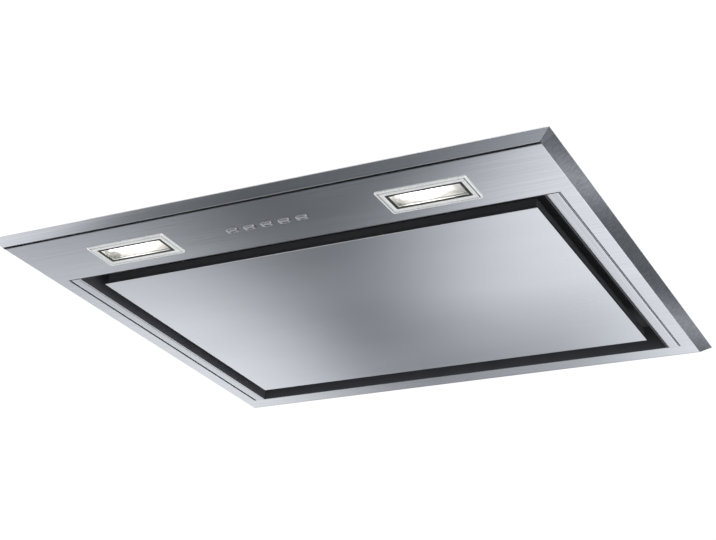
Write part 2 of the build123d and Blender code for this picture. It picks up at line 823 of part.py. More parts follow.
def lamp_bezel(x):
    """Bright frame of the lamp: a proud rim, a fine groove and a window above the cut-out."""
    low = face_z - bezel_proud
    rim = rounded_block(x, lamp_y, bezel_width, bezel_depth, low, face_z, bezel_corner)
    rim = chamfer(rim.faces().sort_by(Axis.Z)[0].outer_wire().edges(), bezel_chamfer)
    top = face_z + bezel_upstand
    up_width = lamp_cutout_width - 2 * lamp_fit
    up_depth = lamp_cutout_depth - 2 * lamp_fit
    bezel = rim + slab(x, lamp_y, up_width, up_depth, face_z, top)
    groove_w = window_width + 2 * groove_inset
    groove_d = window_depth + 2 * groove_inset
    rise = 2 * groove_width
    groove = slab(x, lamp_y, groove_w + rise, groove_d + rise, low, low + groove_depth)
    groove -= slab(x, lamp_y, groove_w, groove_d, low, low + groove_depth)
    bezel -= groove
    bezel -= slab(x, lamp_y, window_width, window_depth, low, top)
    seat_width = window_width + 2 * glass_overlap + 2 * lamp_fit
    seat_depth = window_depth + 2 * glass_overlap + 2 * lamp_fit
    return bezel - slab(x, lamp_y, seat_width, seat_depth, glass_z, top)


def lamp_glass(x):
    """Flat glass seated on the bezel's inner step."""
    width = window_width + 2 * glass_overlap
    depth = window_depth + 2 * glass_overlap
    return slab(x, lamp_y, width, depth, glass_z, glass_z + glass_thickness)


def reflector_bulk(x, inset):
    """Tapered block of the reflector's outside, or of its inside when inset."""
    z0 = glass_z + glass_thickness
    margin = glass_overlap - lamp_fit - inset
    low = Rectangle(window_width + 2 * margin, window_depth + 2 * margin)
    high = Rectangle(reflector_top_width - 2 * inset, reflector_top_depth - 2 * inset)
    return Pos(x, lamp_y, z0) * loft([low, Pos(0, 0, reflector_height - inset) * high], ruled=True)


def lamp_reflector(x):
    """Bright tapered reflector shell with a square hole for the bulb."""
    shell = reflector_bulk(x, 0) - reflector_bulk(x, reflector_sheet)
    hole_half = bulb_radius + running_gap
    hole_y0 = lamp_y - hole_half
    hole_y1 = lamp_y + hole_half
    return shell - block(x - window_width, x, hole_y0, hole_y1, bulb_z - hole_half, bulb_z + hole_half)


def lamp_bulb(x):
    """Halogen capsule lying along the reflector, one end against the socket."""
    x0 = x - lamp_cutout_width / 2 + lamp_fit + sheet + socket_length
    return Pos(x0 + bulb_length / 2, lamp_y, bulb_z) * Rot(0, 90, 0) * Cylinder(bulb_radius, bulb_length)


def lamp_socket(x):
    """Ceramic socket on the end wall of the lamp housing."""
    x0 = x - lamp_cutout_width / 2 + lamp_fit + sheet
    half = socket_width / 2
    rise = socket_height / 2
    return block(x0, x0 + socket_length, lamp_y - half, lamp_y + half, bulb_z - rise, bulb_z + rise)


def lamp_housing(x):
    """Steel can over the lamp with a row of vent slots in its top."""
    z0 = face_z + bezel_upstand
    z1 = z0 + lamp_housing_height
    width = lamp_cutout_width - 2 * lamp_fit
    depth = lamp_cutout_depth - 2 * lamp_fit
    can = slab(x, lamp_y, width, depth, z0, z1)
    can -= slab(x, lamp_y, width - 2 * sheet, depth - 2 * sheet, z0, z1 - sheet)
    first = x - vent_pitch * (vent_count - 1) / 2
    for place in range(vent_count):
        can -= slab(first + place * vent_pitch, lamp_y, vent_width, vent_length, z1 - sheet, z1)
    return can


def lamp_clip(x, way):
    """Spring clip on the end of a lamp housing that presses on the pan's inside."""
    wall = x + way * (lamp_cutout_width / 2 - lamp_fit)
    foot = face_z + sheet
    top = foot + bezel_upstand + clip_height
    points = [
        (wall, top),
        (wall, top - clip_seat),
        (wall + way * clip_spring, foot + clip_foot_rise),
        (wall + way * clip_reach, foot + clip_sheet),
    ]
    path = Polyline(*points)
    section = make_face(offset(path, amount=clip_sheet, side=Side.LEFT if way > 0 else Side.RIGHT))
    return Pos(0, lamp_y, 0) * extrude(Plane.XZ * section, amount=clip_width / 2, both=True)


def button(place):
    """Push button with rounded corners and a small dimple in the middle of its face."""
    x = button_first_x + place * button_pitch
    cap = rounded_block(x, button_y, button_width, button_depth, 0, button_length, button_corner)
    return cap - disc(x, button_y, button_dimple_radius, 0, button_dimple)


def switch_body():
    """Switch block on the back of the control zone, with a pocket for each button."""
    z0 = face_z + sheet
    top = z0 + switch_height
    body = slab(button_row_x, button_y, 2 * switch_half, switch_depth, z0, top)
    ear_top = z0 + switch_ear_thickness
    ear_width = 2 * switch_half + 2 * switch_ear
    body += slab(button_row_x, button_y, ear_width, switch_ear_depth, z0, ear_top)
    pocket_top = button_length + button_travel + button_fit
    width = button_width + 2 * button_fit
    depth = button_depth + 2 * button_fit
    for place in range(button_count):
        x = button_first_x + place * button_pitch
        body -= slab(x, button_y, width, depth, z0, pocket_top)
    for way in (-1, 1):
        x = button_row_x + way * switch_terminal_spread / 2
        terminal_top = top + switch_terminal_rise
        body += slab(x, button_y, switch_terminal_width, switch_terminal_sheet, top, terminal_top)
    return body


def terminal_box():
    """Open terminal box with a gland hole in its outer wall."""
    wall = terminal_wall
    x0 = terminal_x - terminal_width / 2
    x1 = terminal_x + terminal_width / 2
    y0 = terminal_middle - terminal_depth / 2
    y1 = terminal_middle + terminal_depth / 2
    z1 = plenum_top + terminal_height
    box = block(x0, x1, y0, y1, plenum_top, z1)
    box -= block(x0 + wall, x1 - wall, y0 + wall, y1 - wall, plenum_top + wall, z1)
    box -= Pos(x0, terminal_middle, gland_z) * Rot(0, 90, 0) * Cylinder(gland_radius + pin_gap, 4 * wall)
    return box


def terminal_box_cover():
    """Lid over the terminal box with a turned-down rim inside the walls."""
    z1 = plenum_top + terminal_height
    half_x = terminal_width / 2
    half_y = terminal_depth / 2
    y = terminal_middle
    lid = slab(terminal_x, y, terminal_width, terminal_depth, z1, z1 + terminal_wall)
    inner_x = half_x - terminal_wall - running_gap
    inner_y = half_y - terminal_wall - running_gap
    rim = block(terminal_x - inner_x, terminal_x + inner_x, y - inner_y, y + inner_y, z1 - terminal_lid, z1)
    core_x = inner_x - terminal_wall
    core_y = inner_y - terminal_wall
    rim -= block(terminal_x - core_x, terminal_x + core_x, y - core_y, y + core_y, z1 - terminal_lid, z1)
    return lid + rim


def cable_gland():
    """Cable gland: round body through the wall, a hexagon outside and a tapered faceted cap."""
    wall = terminal_x - terminal_width / 2
    inner_length = 2 * terminal_wall
    cap_length = gland_length - gland_nut_length
    cap_foot = Pos(0, 0, gland_nut_length) * RegularPolygon(gland_radius, gland_cap_flats)
    cap_tip = Pos(0, 0, gland_length) * RegularPolygon(gland_tip_radius, gland_cap_flats)
    gland = Pos(0, 0, -inner_length / 2) * Cylinder(gland_radius, inner_length)
    gland += extrude(RegularPolygon(gland_nut_width / 2, 6), amount=gland_nut_length)
    gland += loft([cap_foot, cap_tip], ruled=True)
    gland -= Cylinder(gland_bore, 4 * gland_length)
    return Pos(wall, terminal_middle, gland_z) * Rot(0, -90, 0) * gland


def capacitor():
    """Run capacitor standing on its foot on the plenum."""
    y = front + capacitor_y
    top = plenum_top + capacitor_height
    can = disc(capacitor_x, y, capacitor_radius, plenum_top, top)
    can = chamfer(can.edges().group_by(Axis.Z)[-1], capacitor_edge)
    foot_top = plenum_top + capacitor_foot_height
    can += slab(capacitor_x, y, capacitor_foot_width, capacitor_foot_depth, plenum_top, foot_top)
    for way in (-1, 1):
        x = capacitor_x + way * capacitor_tab_spread / 2
        can += slab(x, y, capacitor_tab_sheet, capacitor_tab_width, top, top + capacitor_tab_rise)
    return can


def lamp_transformer():
    """Lamp transformer with a foot at each end."""
    y = front + transformer_y
    top = plenum_top + transformer_height
    foot_top = plenum_top + transformer_foot_height
    foot_depth = transformer_depth + 2 * transformer_foot_reach
    body = slab(transformer_x, y, transformer_width, transformer_depth, plenum_top, top)
    body = chamfer(body.edges().group_by(Axis.Z)[-1], transformer_edge)
    return body + slab(transformer_x, y, transformer_foot_width, foot_depth, plenum_top, foot_top)


def bracket(side):
    """Side bracket that screws to the cabinet: a folded Z with two holes in its outer leg."""
    wall = plenum_half
    outer = wall + bracket_reach
    y0 = bracket_middle - bracket_length / 2
    y1 = bracket_middle + bracket_length / 2
    web_low = bracket_web_z - bracket_sheet
    piece = block(wall, wall + bracket_sheet, y0, y1, web_low, bracket_web_z + bracket_rise)
    piece += block(wall, outer, y0, y1, web_low, bracket_web_z)
    piece += block(outer - bracket_sheet, outer, y0, y1, bracket_z, bracket_web_z)
    z = (bracket_z + web_low) / 2
    for way in (-1, 1):
        y = bracket_middle + way * bracket_hole_pitch / 2
        piece -= Pos(outer, y, z) * Rot(0, 90, 0) * Cylinder(bracket_hole_radius, 4 * bracket_sheet)
    return mirror(piece, Plane.YZ) if side < 0 else piece


motor_can, shaft_rod = motor_parts()
right_filter_frame = filter_frame()
right_filter_mesh = filter_mesh()
right_filter_latch = filter_latch()

parts = {
    "underside_pan": underside_pan(),
    "front_trim": front_trim(),
    "left_side_trim": side_trim(-1),
    "right_side_trim": side_trim(1),
    "suction_frame": suction_frame(),
    "panel_skin": panel_skin(),
    "panel_tray": panel_tray(),
    "panel_hinge_lugs": Compound(children=[hinge_lug(-1), hinge_lug(1)]),
    "hinge_brackets": Compound(children=[hinge_bracket(-1), hinge_bracket(1)]),
    "hinge_pins": Compound(children=[hinge_pin(-1), hinge_pin(1)]),
    "panel_catches": Compound(children=[panel_catch(-1), panel_catch(1)]),
    "catch_tongues": Compound(children=[catch_tongue(-1), catch_tongue(1)]),
    "right_filter_frame": right_filter_frame,
    "left_filter_frame": mirror(right_filter_frame, Plane.YZ),
    "right_filter_mesh": right_filter_mesh,
    "left_filter_mesh": mirror(right_filter_mesh, Plane.YZ),
    "right_filter_latch": right_filter_latch,
    "left_filter_latch": mirror(right_filter_latch, Plane.YZ),
    "plenum_box": plenum_box(),
    "motor_housing": motor_housing(),
    "scroll_base": scroll_base(),
    "scroll_cover": scroll_cover(),
    "inlet_ring": inlet_ring(),
    "impeller": impeller(),
    "motor": motor_can,
    "motor_shaft": shaft_rod,
    "motor_bracket": motor_bracket(),
    "duct_collar": duct_collar(),
    "flap_spindle": flap_spindle(),
    "left_flap": flap(-1),
    "right_flap": flap(1),
    "switch_body": switch_body(),
    "terminal_box": terminal_box(),
    "terminal_box_cover": terminal_box_cover(),
    "cable_gland": cable_gland(),
    "capacitor": capacitor(),
    "lamp_transformer": lamp_transformer(),
    "left_bracket": bracket(-1),
    "right_bracket": bracket(1),
}

clips = []
for side, name in ((-1, "left"), (1, "right")):
    lamp_x = side * lamp_spread / 2
    parts[name + "_lamp_bezel"] = lamp_bezel(lamp_x)
    parts[name + "_lamp_glass"] = lamp_glass(lamp_x)
    parts[name + "_lamp_reflector"] = lamp_reflector(lamp_x)
    parts[name + "_lamp_bulb"] = lamp_bulb(lamp_x)
    parts[name + "_lamp_socket"] = lamp_socket(lamp_x)
    parts[name + "_lamp_housing"] = lamp_housing(lamp_x)
    clips += [lamp_clip(lamp_x, -1), lamp_clip(lamp_x, 1)]
parts["lamp_clips"] = Compound(children=clips)

for place in range(button_count):
    parts["button_" + str(place + 1)] = button(place)

os.makedirs("parts", exist_ok=True)
for name, part in parts.items():
    export_step(part, "parts/" + name + ".step")
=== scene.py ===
import math
import bmesh
import bpy
from mathutils import Euler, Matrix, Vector


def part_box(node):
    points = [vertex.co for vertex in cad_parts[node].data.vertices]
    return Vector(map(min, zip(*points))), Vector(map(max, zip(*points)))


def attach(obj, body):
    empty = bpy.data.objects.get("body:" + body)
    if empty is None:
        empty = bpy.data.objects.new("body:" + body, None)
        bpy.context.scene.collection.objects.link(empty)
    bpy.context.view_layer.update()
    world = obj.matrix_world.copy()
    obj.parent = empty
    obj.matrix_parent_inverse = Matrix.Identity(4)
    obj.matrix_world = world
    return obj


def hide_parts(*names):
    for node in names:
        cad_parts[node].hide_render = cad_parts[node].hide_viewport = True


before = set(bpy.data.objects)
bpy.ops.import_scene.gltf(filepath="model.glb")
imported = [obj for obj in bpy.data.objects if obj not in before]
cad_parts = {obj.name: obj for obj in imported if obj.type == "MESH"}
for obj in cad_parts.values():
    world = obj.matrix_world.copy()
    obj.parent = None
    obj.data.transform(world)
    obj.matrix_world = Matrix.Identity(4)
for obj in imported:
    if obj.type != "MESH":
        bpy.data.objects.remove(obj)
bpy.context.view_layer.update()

link_to_scene = bpy.context.scene.collection.objects.link

# Camera
# The hood is seen from below, from its front right corner, through a long lens.
# It looks up by 25 degrees and leans a little to the left.
camera_data = bpy.data.cameras.new("camera")
camera_data.lens = 73.854
camera_data.sensor_width = 36.0
camera_data.clip_start = 0.05
camera_data.clip_end = 60.0
camera = bpy.data.objects.new("camera", camera_data)
camera.location = (0.67169, -1.25799, -0.62606)
camera.rotation_euler = Euler([math.radians(a) for a in (115.07516, -3.18937, 27.13500)], "XYZ")
link_to_scene(camera)
bpy.context.scene.camera = camera
bpy.context.scene.view_settings.view_transform = "Standard"


# Studio
# A pale floor well below the hood, a white surround, and broad soft lamps under and over it.
# Graded cards out of sight give the steel something darker to mirror, as a room would.
def node_tool(tree):
    """Short ways to add a node and to link two sockets."""
    def add(kind, **values):
        node = tree.nodes.new(kind)
        for key, value in values.items():
            setattr(node, key, value)
        return node
    return add, tree.links.new


def new_finish(name):
    """A new material, with its node tree and its Principled shader."""
    finish = bpy.data.materials.new(name)
    finish.use_nodes = True
    return finish, finish.node_tree, finish.node_tree.nodes["Principled BSDF"]


def placed(name, data):
    """A new object with this mesh or lamp, at the origin."""
    made = bpy.data.objects.new(name, data)
    link_to_scene(made)
    return made


def ray_mask(tree, kinds):
    """1 for the kinds of ray that are named, 0 for the others."""
    add, link = node_tool(tree)
    path = add("ShaderNodeLightPath")
    last = path.outputs[kinds[0]]
    for kind in kinds[1:]:
        either = add("ShaderNodeMath", operation="MAXIMUM")
        link(last, either.inputs[0])
        link(path.outputs[kind], either.inputs[1])
        last = either.outputs[0]
    return last


surround_seen = 1.04
surround_light = 0.75
floor_lift = 0.14
floor_mirrored = 0.80
card_darkest = 0.05
card_columns, card_rows = 56, 28
wall_y = 2.5
below_z, over_z = -1.86, 4.4

world = bpy.data.worlds.new("surround")
bpy.context.scene.world = world
world.use_nodes = True
world.node_tree.nodes.clear()
add, link = node_tool(world.node_tree)
white = add("ShaderNodeBackground")
white.inputs["Color"].default_value = (1, 1, 1, 1)
white.inputs["Strength"].default_value = surround_seen
soft = add("ShaderNodeBackground")
soft.inputs["Color"].default_value = (0.95, 0.97, 1.0, 1)
soft.inputs["Strength"].default_value = surround_light
either = add("ShaderNodeMixShader")
seen = ray_mask(world.node_tree, ("Is Camera Ray", "Is Glossy Ray", "Is Transmission Ray"))
link(seen, either.inputs[0])
link(soft.outputs[0], either.inputs[1])
link(white.outputs[0], either.inputs[2])
link(either.outputs[0], add("ShaderNodeOutputWorld").inputs[0])


def studio_floor(level, half):
    """Wide pale floor, which steel mirrors a little darker than the white surround."""
    mesh = bpy.data.meshes.new("floor")
    corners = [(x * half, y * half, level) for x, y in ((-1, -1), (1, -1), (1, 1), (-1, 1))]
    mesh.from_pydata(corners, [], [(0, 1, 2, 3)])
    finish, tree, shader = new_finish("floor")
    add, link = node_tool(tree)
    shader.inputs["Base Color"].default_value = (0.86, 0.86, 0.86, 1)
    shader.inputs["Roughness"].default_value = 0.9
    shader.inputs["Emission Color"].default_value = (floor_lift, floor_lift, floor_lift, 1)
    link(ray_mask(tree, ("Is Camera Ray",)), shader.inputs["Emission Strength"])
    glow = add("ShaderNodeEmission")
    glow.inputs["Strength"].default_value = floor_mirrored
    mix = add("ShaderNodeMixShader")
    link(ray_mask(tree, ("Is Glossy Ray",)), mix.inputs[0])
    link(shader.outputs[0], mix.inputs[1])
    link(glow.outputs[0], mix.inputs[2])
    link(mix.outputs[0], tree.nodes["Material Output"].inputs["Surface"])
    mesh.materials.append(finish)
    floor = placed("floor", mesh)


def toned_card(name, place, low, high, base, spots):
    """
    A flat card that only reflections see, plain but for soft spots; where it is dark it is a little cooler.
    A spot is its middle across and up, its reach across and up, how dark it is, and how far it leans.
    A spot with a negative depth is a light one.
    """
    points, faces, levels = [], [], []
    for r in range(card_rows + 1):
        for c in range(card_columns + 1):
            across = low[0] + (high[0] - low[0]) * c / card_columns
            rise = low[1] + (high[1] - low[1]) * r / card_rows
            level = base
            for x, z, reach_x, reach_z, depth, lean in spots:
                off = (across - x - lean * (rise - z)) / reach_x
                level -= depth * math.exp(-off * off - ((rise - z) / reach_z) ** 2)
            points.append(place(across, rise))
            levels.append(max(level, card_darkest))
    step = card_columns + 1
    for r in range(card_rows):
        for corner in range(r * step, r * step + card_columns):
            faces.append((corner, corner + 1, corner + step + 1, corner + step))
    mesh = bpy.data.meshes.new(name)
    mesh.from_pydata(points, [], faces)
    mesh.attributes.new("level", "FLOAT", "POINT").data.foreach_set("value", levels)
    finish = bpy.data.materials.new(name)
    finish.use_nodes = True
    finish.node_tree.nodes.clear()
    add, link = node_tool(finish.node_tree)
    level = add("ShaderNodeAttribute", attribute_name="level").outputs["Fac"]
    cool = add("ShaderNodeMix", data_type="RGBA")
    cool.inputs["A"].default_value = (0.92, 0.985, 1.08, 1)
    cool.inputs["B"].default_value = (0.972, 0.993, 1.022, 1)
    link(level, cool.inputs["Factor"])
    glow = add("ShaderNodeEmission")
    link(cool.outputs["Result"], glow.inputs["Color"])
    link(level, glow.inputs["Strength"])
    link(glow.outputs[0], add("ShaderNodeOutputMaterial").inputs["Surface"])
    mesh.materials.append(finish)
    card = placed(name, mesh)
    card.visible_camera = False
    card.visible_diffuse = False
    card.visible_shadow = False
    card.visible_transmission = False


def on_wall(across, rise):
    """A place on the upright cards, which stand behind the hood."""
    return (across, wall_y, rise)


studio_floor(level=-2.8, half=16.0)
toned_card(
    "card_behind",
    on_wall,
    low=(-4.2, -2.75),
    high=(0.6, -0.2),
    base=1.06,
    spots=[
        (-1.87, -1.67, 0.34, 0.81, 1.1, 1.08),
        (-1.68, -2.4, 1.24, 0.89, 1.1, -1.45),
        (-1.16, -1.82, 0.34, 0.29, 1.1, -0.23),
        (-0.91, -1.0, 0.51, 0.13, 0.95, 0.8),
        (-0.60, -1.01, 0.20, 0.16, 0.24, 0.0),
        (-0.75, -0.45, 0.55, 0.25, 0.65, 0.0),
    ],
)
toned_card(
    "card_below",
    lambda across, out: (across, out, below_z),
    low=(-3.6, -2.9),
    high=(0.6, -1.0),
    base=1.04,
    spots=[
        (-1.52, -1.9, 0.26, 9.0, 0.40, 0.0),
        (-0.97, -1.9, 0.85, 9.0, 0.89, 0.0),
        (-1.86, -1.9, 0.14, 9.0, 0.72, 0.0),
    ],
)
toned_card(
    "card_right",
    on_wall,
    low=(0.62, -2.2),
    high=(2.6, -0.1),
    base=0.12,
    spots=[
        (1.525, -1.1, 0.065, 9.0, -0.36, 0.0),
        (1.105, -1.1, 0.04, 9.0, -0.36, 0.0),
        (0.55, -1.1, 0.12, 9.0, -0.8, 0.0),
    ],
)
toned_card(
    "card_above",
    on_wall,
    low=(-2.8, -0.2),
    high=(-0.1, 3.8),
    base=0.9,
    spots=[(-1.35, 2.6, 0.75, 1.2, 0.55, 0.0), (-0.75, 0.4, 0.55, 0.8, 0.85, 0.0)],
)
toned_card(
    "card_over",
    lambda across, out: (across, out, over_z),
    low=(-12.0, -12.0),
    high=(12.0, 12.0),
    base=0.55,
    spots=[(0.0, 0.0, 4.0, 4.0, -0.35, 0.0)],
)


def soft_lamp(name, place, aim, width, height, power):
    """A broad rectangular studio lamp at a place, turned to its aim."""
    data = bpy.data.lights.new(name, "AREA")
    data.shape = "RECTANGLE"
    data.size = width
    data.size_y = height
    data.energy = power
    lamp = placed(name, data)
    lamp.location = place
    lamp.rotation_euler = (Vector(aim) - Vector(place)).to_track_quat("-Z", "Y").to_euler()
    return lamp


soft_lamp("lamp_left", (-2.4, 0.2, -1.0), (0, 0, 0), width=2.0, height=1.6, power=18)
soft_lamp("lamp_right", (2.2, -0.6, -0.9), (0, 0, 0), width=1.8, height=1.4, power=14)
soft_lamp("lamp_top", (0.4, -0.8, 2.4), (0, 0, 0), width=2.4, height=2.4, power=22)
lamp_low = soft_lamp("lamp_low", (2.0, 0.2, -1.5), (0.25, 0, 0), width=1.0, height=1.0, power=16)
lamp_low.visible_glossy = False


# Underside pan and the strips round it
# Stainless steel sheet, brushed on a belt, pressed and folded; the front strip is a piece of its own.
# Every fold and cut edge is slightly eased, which is what catches the light.
def new_group(name, inputs, outputs):
    """A shader node group with named sockets, with its input and output nodes."""
    tree = bpy.data.node_groups.new(name, "ShaderNodeTree")
    for socket, kind, value in inputs:
        made = tree.interface.new_socket(name=socket, in_out="INPUT", socket_type=kind)
        if value is not None:
            made.default_value = value
    for socket, kind in outputs:
        tree.interface.new_socket(name=socket, in_out="OUTPUT", socket_type=kind)
    return tree, tree.nodes.new("NodeGroupInput"), tree.nodes.new("NodeGroupOutput")


# How close the marks lie along and across the brushing, and their detail.
fine_scratches = (14.0, 3000.0, 2.0)
long_streaks = (5.0, 600.0, 3.0)
slow_clouds = (2.0, 6.0, 2.0)
rim_bands = (12.0, 420.0, 2.0)


def belt_grain_group():
    """Straight belt grain: fine scratches and longer streaks, slow clouds, and bands across the rims."""
    tree, given, made = new_group(
        "belt_grain",
        [("Place", "NodeSocketVector", None), ("Broad", "NodeSocketFloat", 1.0)],
        [("Streak", "NodeSocketFloat"), ("Cloud", "NodeSocketFloat"), ("Band", "NodeSocketFloat")],
    )
    add, link = node_tool(tree)
    found = []
    for along, across, detail in (fine_scratches, long_streaks, slow_clouds, rim_bands):
        stretch = add("ShaderNodeVectorMath", operation="MULTIPLY")
        stretch.inputs[1].default_value = (along, across, across)
        noise = add("ShaderNodeTexNoise")
        noise.inputs["Scale"].default_value = 1.0
        noise.inputs["Detail"].default_value = detail
        link(given.outputs["Place"], stretch.inputs[0])
        link(stretch.outputs[0], noise.inputs["Vector"])
        found.append(noise.outputs[0])
    broad = add("ShaderNodeMix", data_type="FLOAT")
    link(given.outputs["Broad"], broad.inputs["Factor"])
    link(found[0], broad.inputs["A"])
    link(found[1], broad.inputs["B"])
    link(broad.outputs["Result"], made.inputs["Streak"])
    link(found[2], made.inputs["Cloud"])
    link(found[3], made.inputs["Band"])
    return tree


belt_grain = belt_grain_group()


# Where nearly all values of a slow noise lie.
noise_low, noise_high = 0.3, 0.7


def ranged(tree, value, from_low, from_high, to_low, to_high):
    """Maps a value from one range to another."""
    add, link = node_tool(tree)
    node = add("ShaderNodeMapRange")
    ends = {"From Min": from_low, "From Max": from_high, "To Min": to_low, "To Max": to_high}
    for socket, number in ends.items():
        node.inputs[socket].default_value = number
    link(value, node.inputs["Value"])
    return node.outputs[0]


def noise_on(tree, scale, detail=2.0):
    """An even noise through the whole piece."""
    add, link = node_tool(tree)
    noise = add("ShaderNodeTexNoise")
    noise.inputs["Scale"].default_value = scale
    noise.inputs["Detail"].default_value = detail
    link(add("ShaderNodeTexCoord").outputs["Object"], noise.inputs["Vector"])
    return noise.outputs[0]


def two_tones(tree, value, dark, light):
    """Colour between two tones."""
    add, link = node_tool(tree)
    node = add("ShaderNodeMix", data_type="RGBA")
    node.inputs["A"].default_value = (*dark, 1)
    node.inputs["B"].default_value = (*light, 1)
    link(value, node.inputs["Factor"])
    return node.outputs["Result"]


def relief(tree, height, strength, depth, shader):
    """Fine relief on a surface."""
    add, link = node_tool(tree)
    node = add("ShaderNodeBump")
    node.inputs["Strength"].default_value = strength
    node.inputs["Distance"].default_value = depth
    link(height, node.inputs["Height"])
    link(node.outputs[0], shader.inputs["Normal"])


def inside_group():
    """1 inside a box given by its low and high corner, 0 outside it."""
    tree, given, made = new_group(
        "inside_box",
        [(socket, "NodeSocketVector", None) for socket in ("Place", "Low", "High")],
        [("Inside", "NodeSocketFloat")],
    )
    add, link = node_tool(tree)
    above = add("ShaderNodeVectorMath", operation="SUBTRACT")
    below = add("ShaderNodeVectorMath", operation="SUBTRACT")
    link(given.outputs["Place"], above.inputs[0])
    link(given.outputs["Low"], above.inputs[1])
    link(given.outputs["High"], below.inputs[0])
    link(given.outputs["Place"], below.inputs[1])
    least = add("ShaderNodeVectorMath", operation="MINIMUM")
    link(above.outputs[0], least.inputs[0])
    link(below.outputs[0], least.inputs[1])
    parts = add("ShaderNodeSeparateXYZ")
    link(least.outputs[0], parts.inputs[0])
    pair = add("ShaderNodeMath", operation="MINIMUM")
    link(parts.outputs[0], pair.inputs[0])
    link(parts.outputs[1], pair.inputs[1])
    all_three = add("ShaderNodeMath", operation="MINIMUM")
    link(pair.outputs[0], all_three.inputs[0])
    link(parts.outputs[2], all_three.inputs[1])
    step = add("ShaderNodeMath", operation="GREATER_THAN")
    link(all_three.outputs[0], step.inputs[0])
    step.inputs[1].default_value = 0.0
    link(step.outputs[0], made.inputs["Inside"])
    return tree


inside_box = inside_group()


# Low and high corners of the painted shade in the front slot and along the rear fold, and of the flared side
# rims.
painted_shade_places = (
    ((-0.2885, -0.24985, 0.0018), (0.2885, -0.24555, 0.0104)),
    ((-0.2885, 0.2449, 0.0018), (0.2885, 0.2478, 0.0026)),
)
side_rims = (
    ((0.2872, -0.2457, 0.0018), (0.31, 0.31, 0.02)),
    ((-0.31, -0.2457, 0.0018), (-0.2872, 0.31, 0.02)),
)
# Painted shade: a flat dark steel tone laid over the front slot and the rear fold.
painted_shade_tone = (0.50, 0.51, 0.54, 1)
long_share = 0.55
rim_dark, rim_light = (0.68, 0.69, 0.72), (0.88, 0.89, 0.915)
rim_rough = 0.10
streak_low, streak_high = 0.32, 0.68
scratch_depth = 0.00002


def brushed_steel(name, turn, dark, light, rough, lines):
    """
    Belt-brushed stainless steel; turn is the way the grain runs.
    Painted shade darkens the front slot and a thin line along the rear fold, and the side rims are shinier
    and more banded.
    """
    finish, tree, shader = new_finish(name)
    add, link = node_tool(tree)
    shader.inputs["Metallic"].default_value = 1.0
    place = add("ShaderNodeTexCoord")
    mapping = add("ShaderNodeMapping")
    mapping.inputs["Rotation"].default_value = (0, 0, turn)
    grain = add("ShaderNodeGroup", node_tree=belt_grain)
    grain.inputs["Broad"].default_value = long_share
    link(place.outputs["Object"], mapping.inputs["Vector"])
    link(mapping.outputs[0], grain.inputs["Place"])
    streaks = ranged(tree, grain.outputs["Streak"], streak_low, streak_high, 0, 1)
    bands = ranged(tree, grain.outputs["Band"], streak_low, streak_high, 0, 1)
    tone = two_tones(tree, streaks, dark, light)
    sheen = ranged(tree, grain.outputs["Cloud"], noise_low, noise_high, rough - 0.02, rough + 0.03)

    def where(low, high):
        inside = add("ShaderNodeGroup", node_tree=inside_box)
        inside.inputs["Low"].default_value = low
        inside.inputs["High"].default_value = high
        link(place.outputs["Object"], inside.inputs["Place"])
        return inside.outputs["Inside"]

    # Painted shade: the inside of the front slot, a strip of the pan at its edge, and a thin line along the
    # rear fold get a flat darker tone instead of their own shading.
    for low, high in painted_shade_places:
        painted_shade_mix = add("ShaderNodeMix", data_type="RGBA")
        painted_shade_mix.inputs["B"].default_value = painted_shade_tone
        link(where(low, high), painted_shade_mix.inputs["Factor"])
        link(tone, painted_shade_mix.inputs["A"])
        tone = painted_shade_mix.outputs["Result"]
    rim_tone = two_tones(tree, bands, rim_dark, rim_light)
    for low, high in side_rims:
        on_rim = where(low, high)
        banded = add("ShaderNodeMix", data_type="RGBA")
        link(on_rim, banded.inputs["Factor"])
        link(tone, banded.inputs["A"])
        link(rim_tone, banded.inputs["B"])
        tone = banded.outputs["Result"]
        shinier = add("ShaderNodeMix", data_type="FLOAT")
        shinier.inputs["B"].default_value = rim_rough
        link(on_rim, shinier.inputs["Factor"])
        link(sheen, shinier.inputs["A"])
        sheen = shinier.outputs["Result"]
    link(tone, shader.inputs["Base Color"])
    link(sheen, shader.inputs["Roughness"])
    relief(tree, grain.outputs["Streak"], lines, scratch_depth, shader)
    return finish


same_side = 0.6


def settle_normals(mesh):
    """Corner normals that follow the largest faces, so that flat faces look flat up to their eased edges."""
    around = [[] for _ in mesh.vertices]
    for face in mesh.polygons:
        for vertex in face.vertices:
            around[vertex].append(face.index)
    ways = [face.normal.copy() for face in mesh.polygons]
    sizes = [face.area for face in mesh.polygons]
    corners = []
    for face in mesh.polygons:
        for vertex in face.vertices:
            total = Vector()
            for other in around[vertex]:
                if ways[other].dot(ways[face.index]) > same_side:
                    total += ways[other] * sizes[other]
            corners.append(total.normalized())
    mesh.polygons.foreach_set("use_smooth", [True] * len(mesh.polygons))
    mesh.normals_split_custom_set(corners)


weld = 0.000002
flat_turn = math.radians(1.0)
edge_turn = math.radians(30)


def eased_copy(node, body, width, segments, finish):
    """The node's own shape as one clean mesh with slightly rounded edges."""
    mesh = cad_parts[node].data.copy()
    mesh.name = node + "_eased"
    shell = bmesh.new()
    shell.from_mesh(mesh)
    bmesh.ops.remove_doubles(shell, verts=shell.verts, dist=weld)
    bmesh.ops.dissolve_limit(shell, angle_limit=flat_turn, verts=shell.verts, edges=shell.edges)
    bmesh.ops.recalc_face_normals(shell, faces=shell.faces)
    shell.to_mesh(mesh)
    shell.free()
    draft = placed(node + "_draft", mesh)
    rounding = draft.modifiers.new("rounding", "BEVEL")
    rounding.width = width
    rounding.segments = segments
    rounding.limit_method = "ANGLE"
    rounding.angle_limit = edge_turn
    bpy.context.view_layer.update()
    made = bpy.data.meshes.new_from_object(draft.evaluated_get(bpy.context.evaluated_depsgraph_get()))
    bpy.data.objects.remove(draft)
    made.name = node + "_eased"
    made.materials.clear()
    made.materials.append(finish)
    settle_normals(made)
    piece = placed(node + "_eased", made)
    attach(piece, body)
    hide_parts(node)


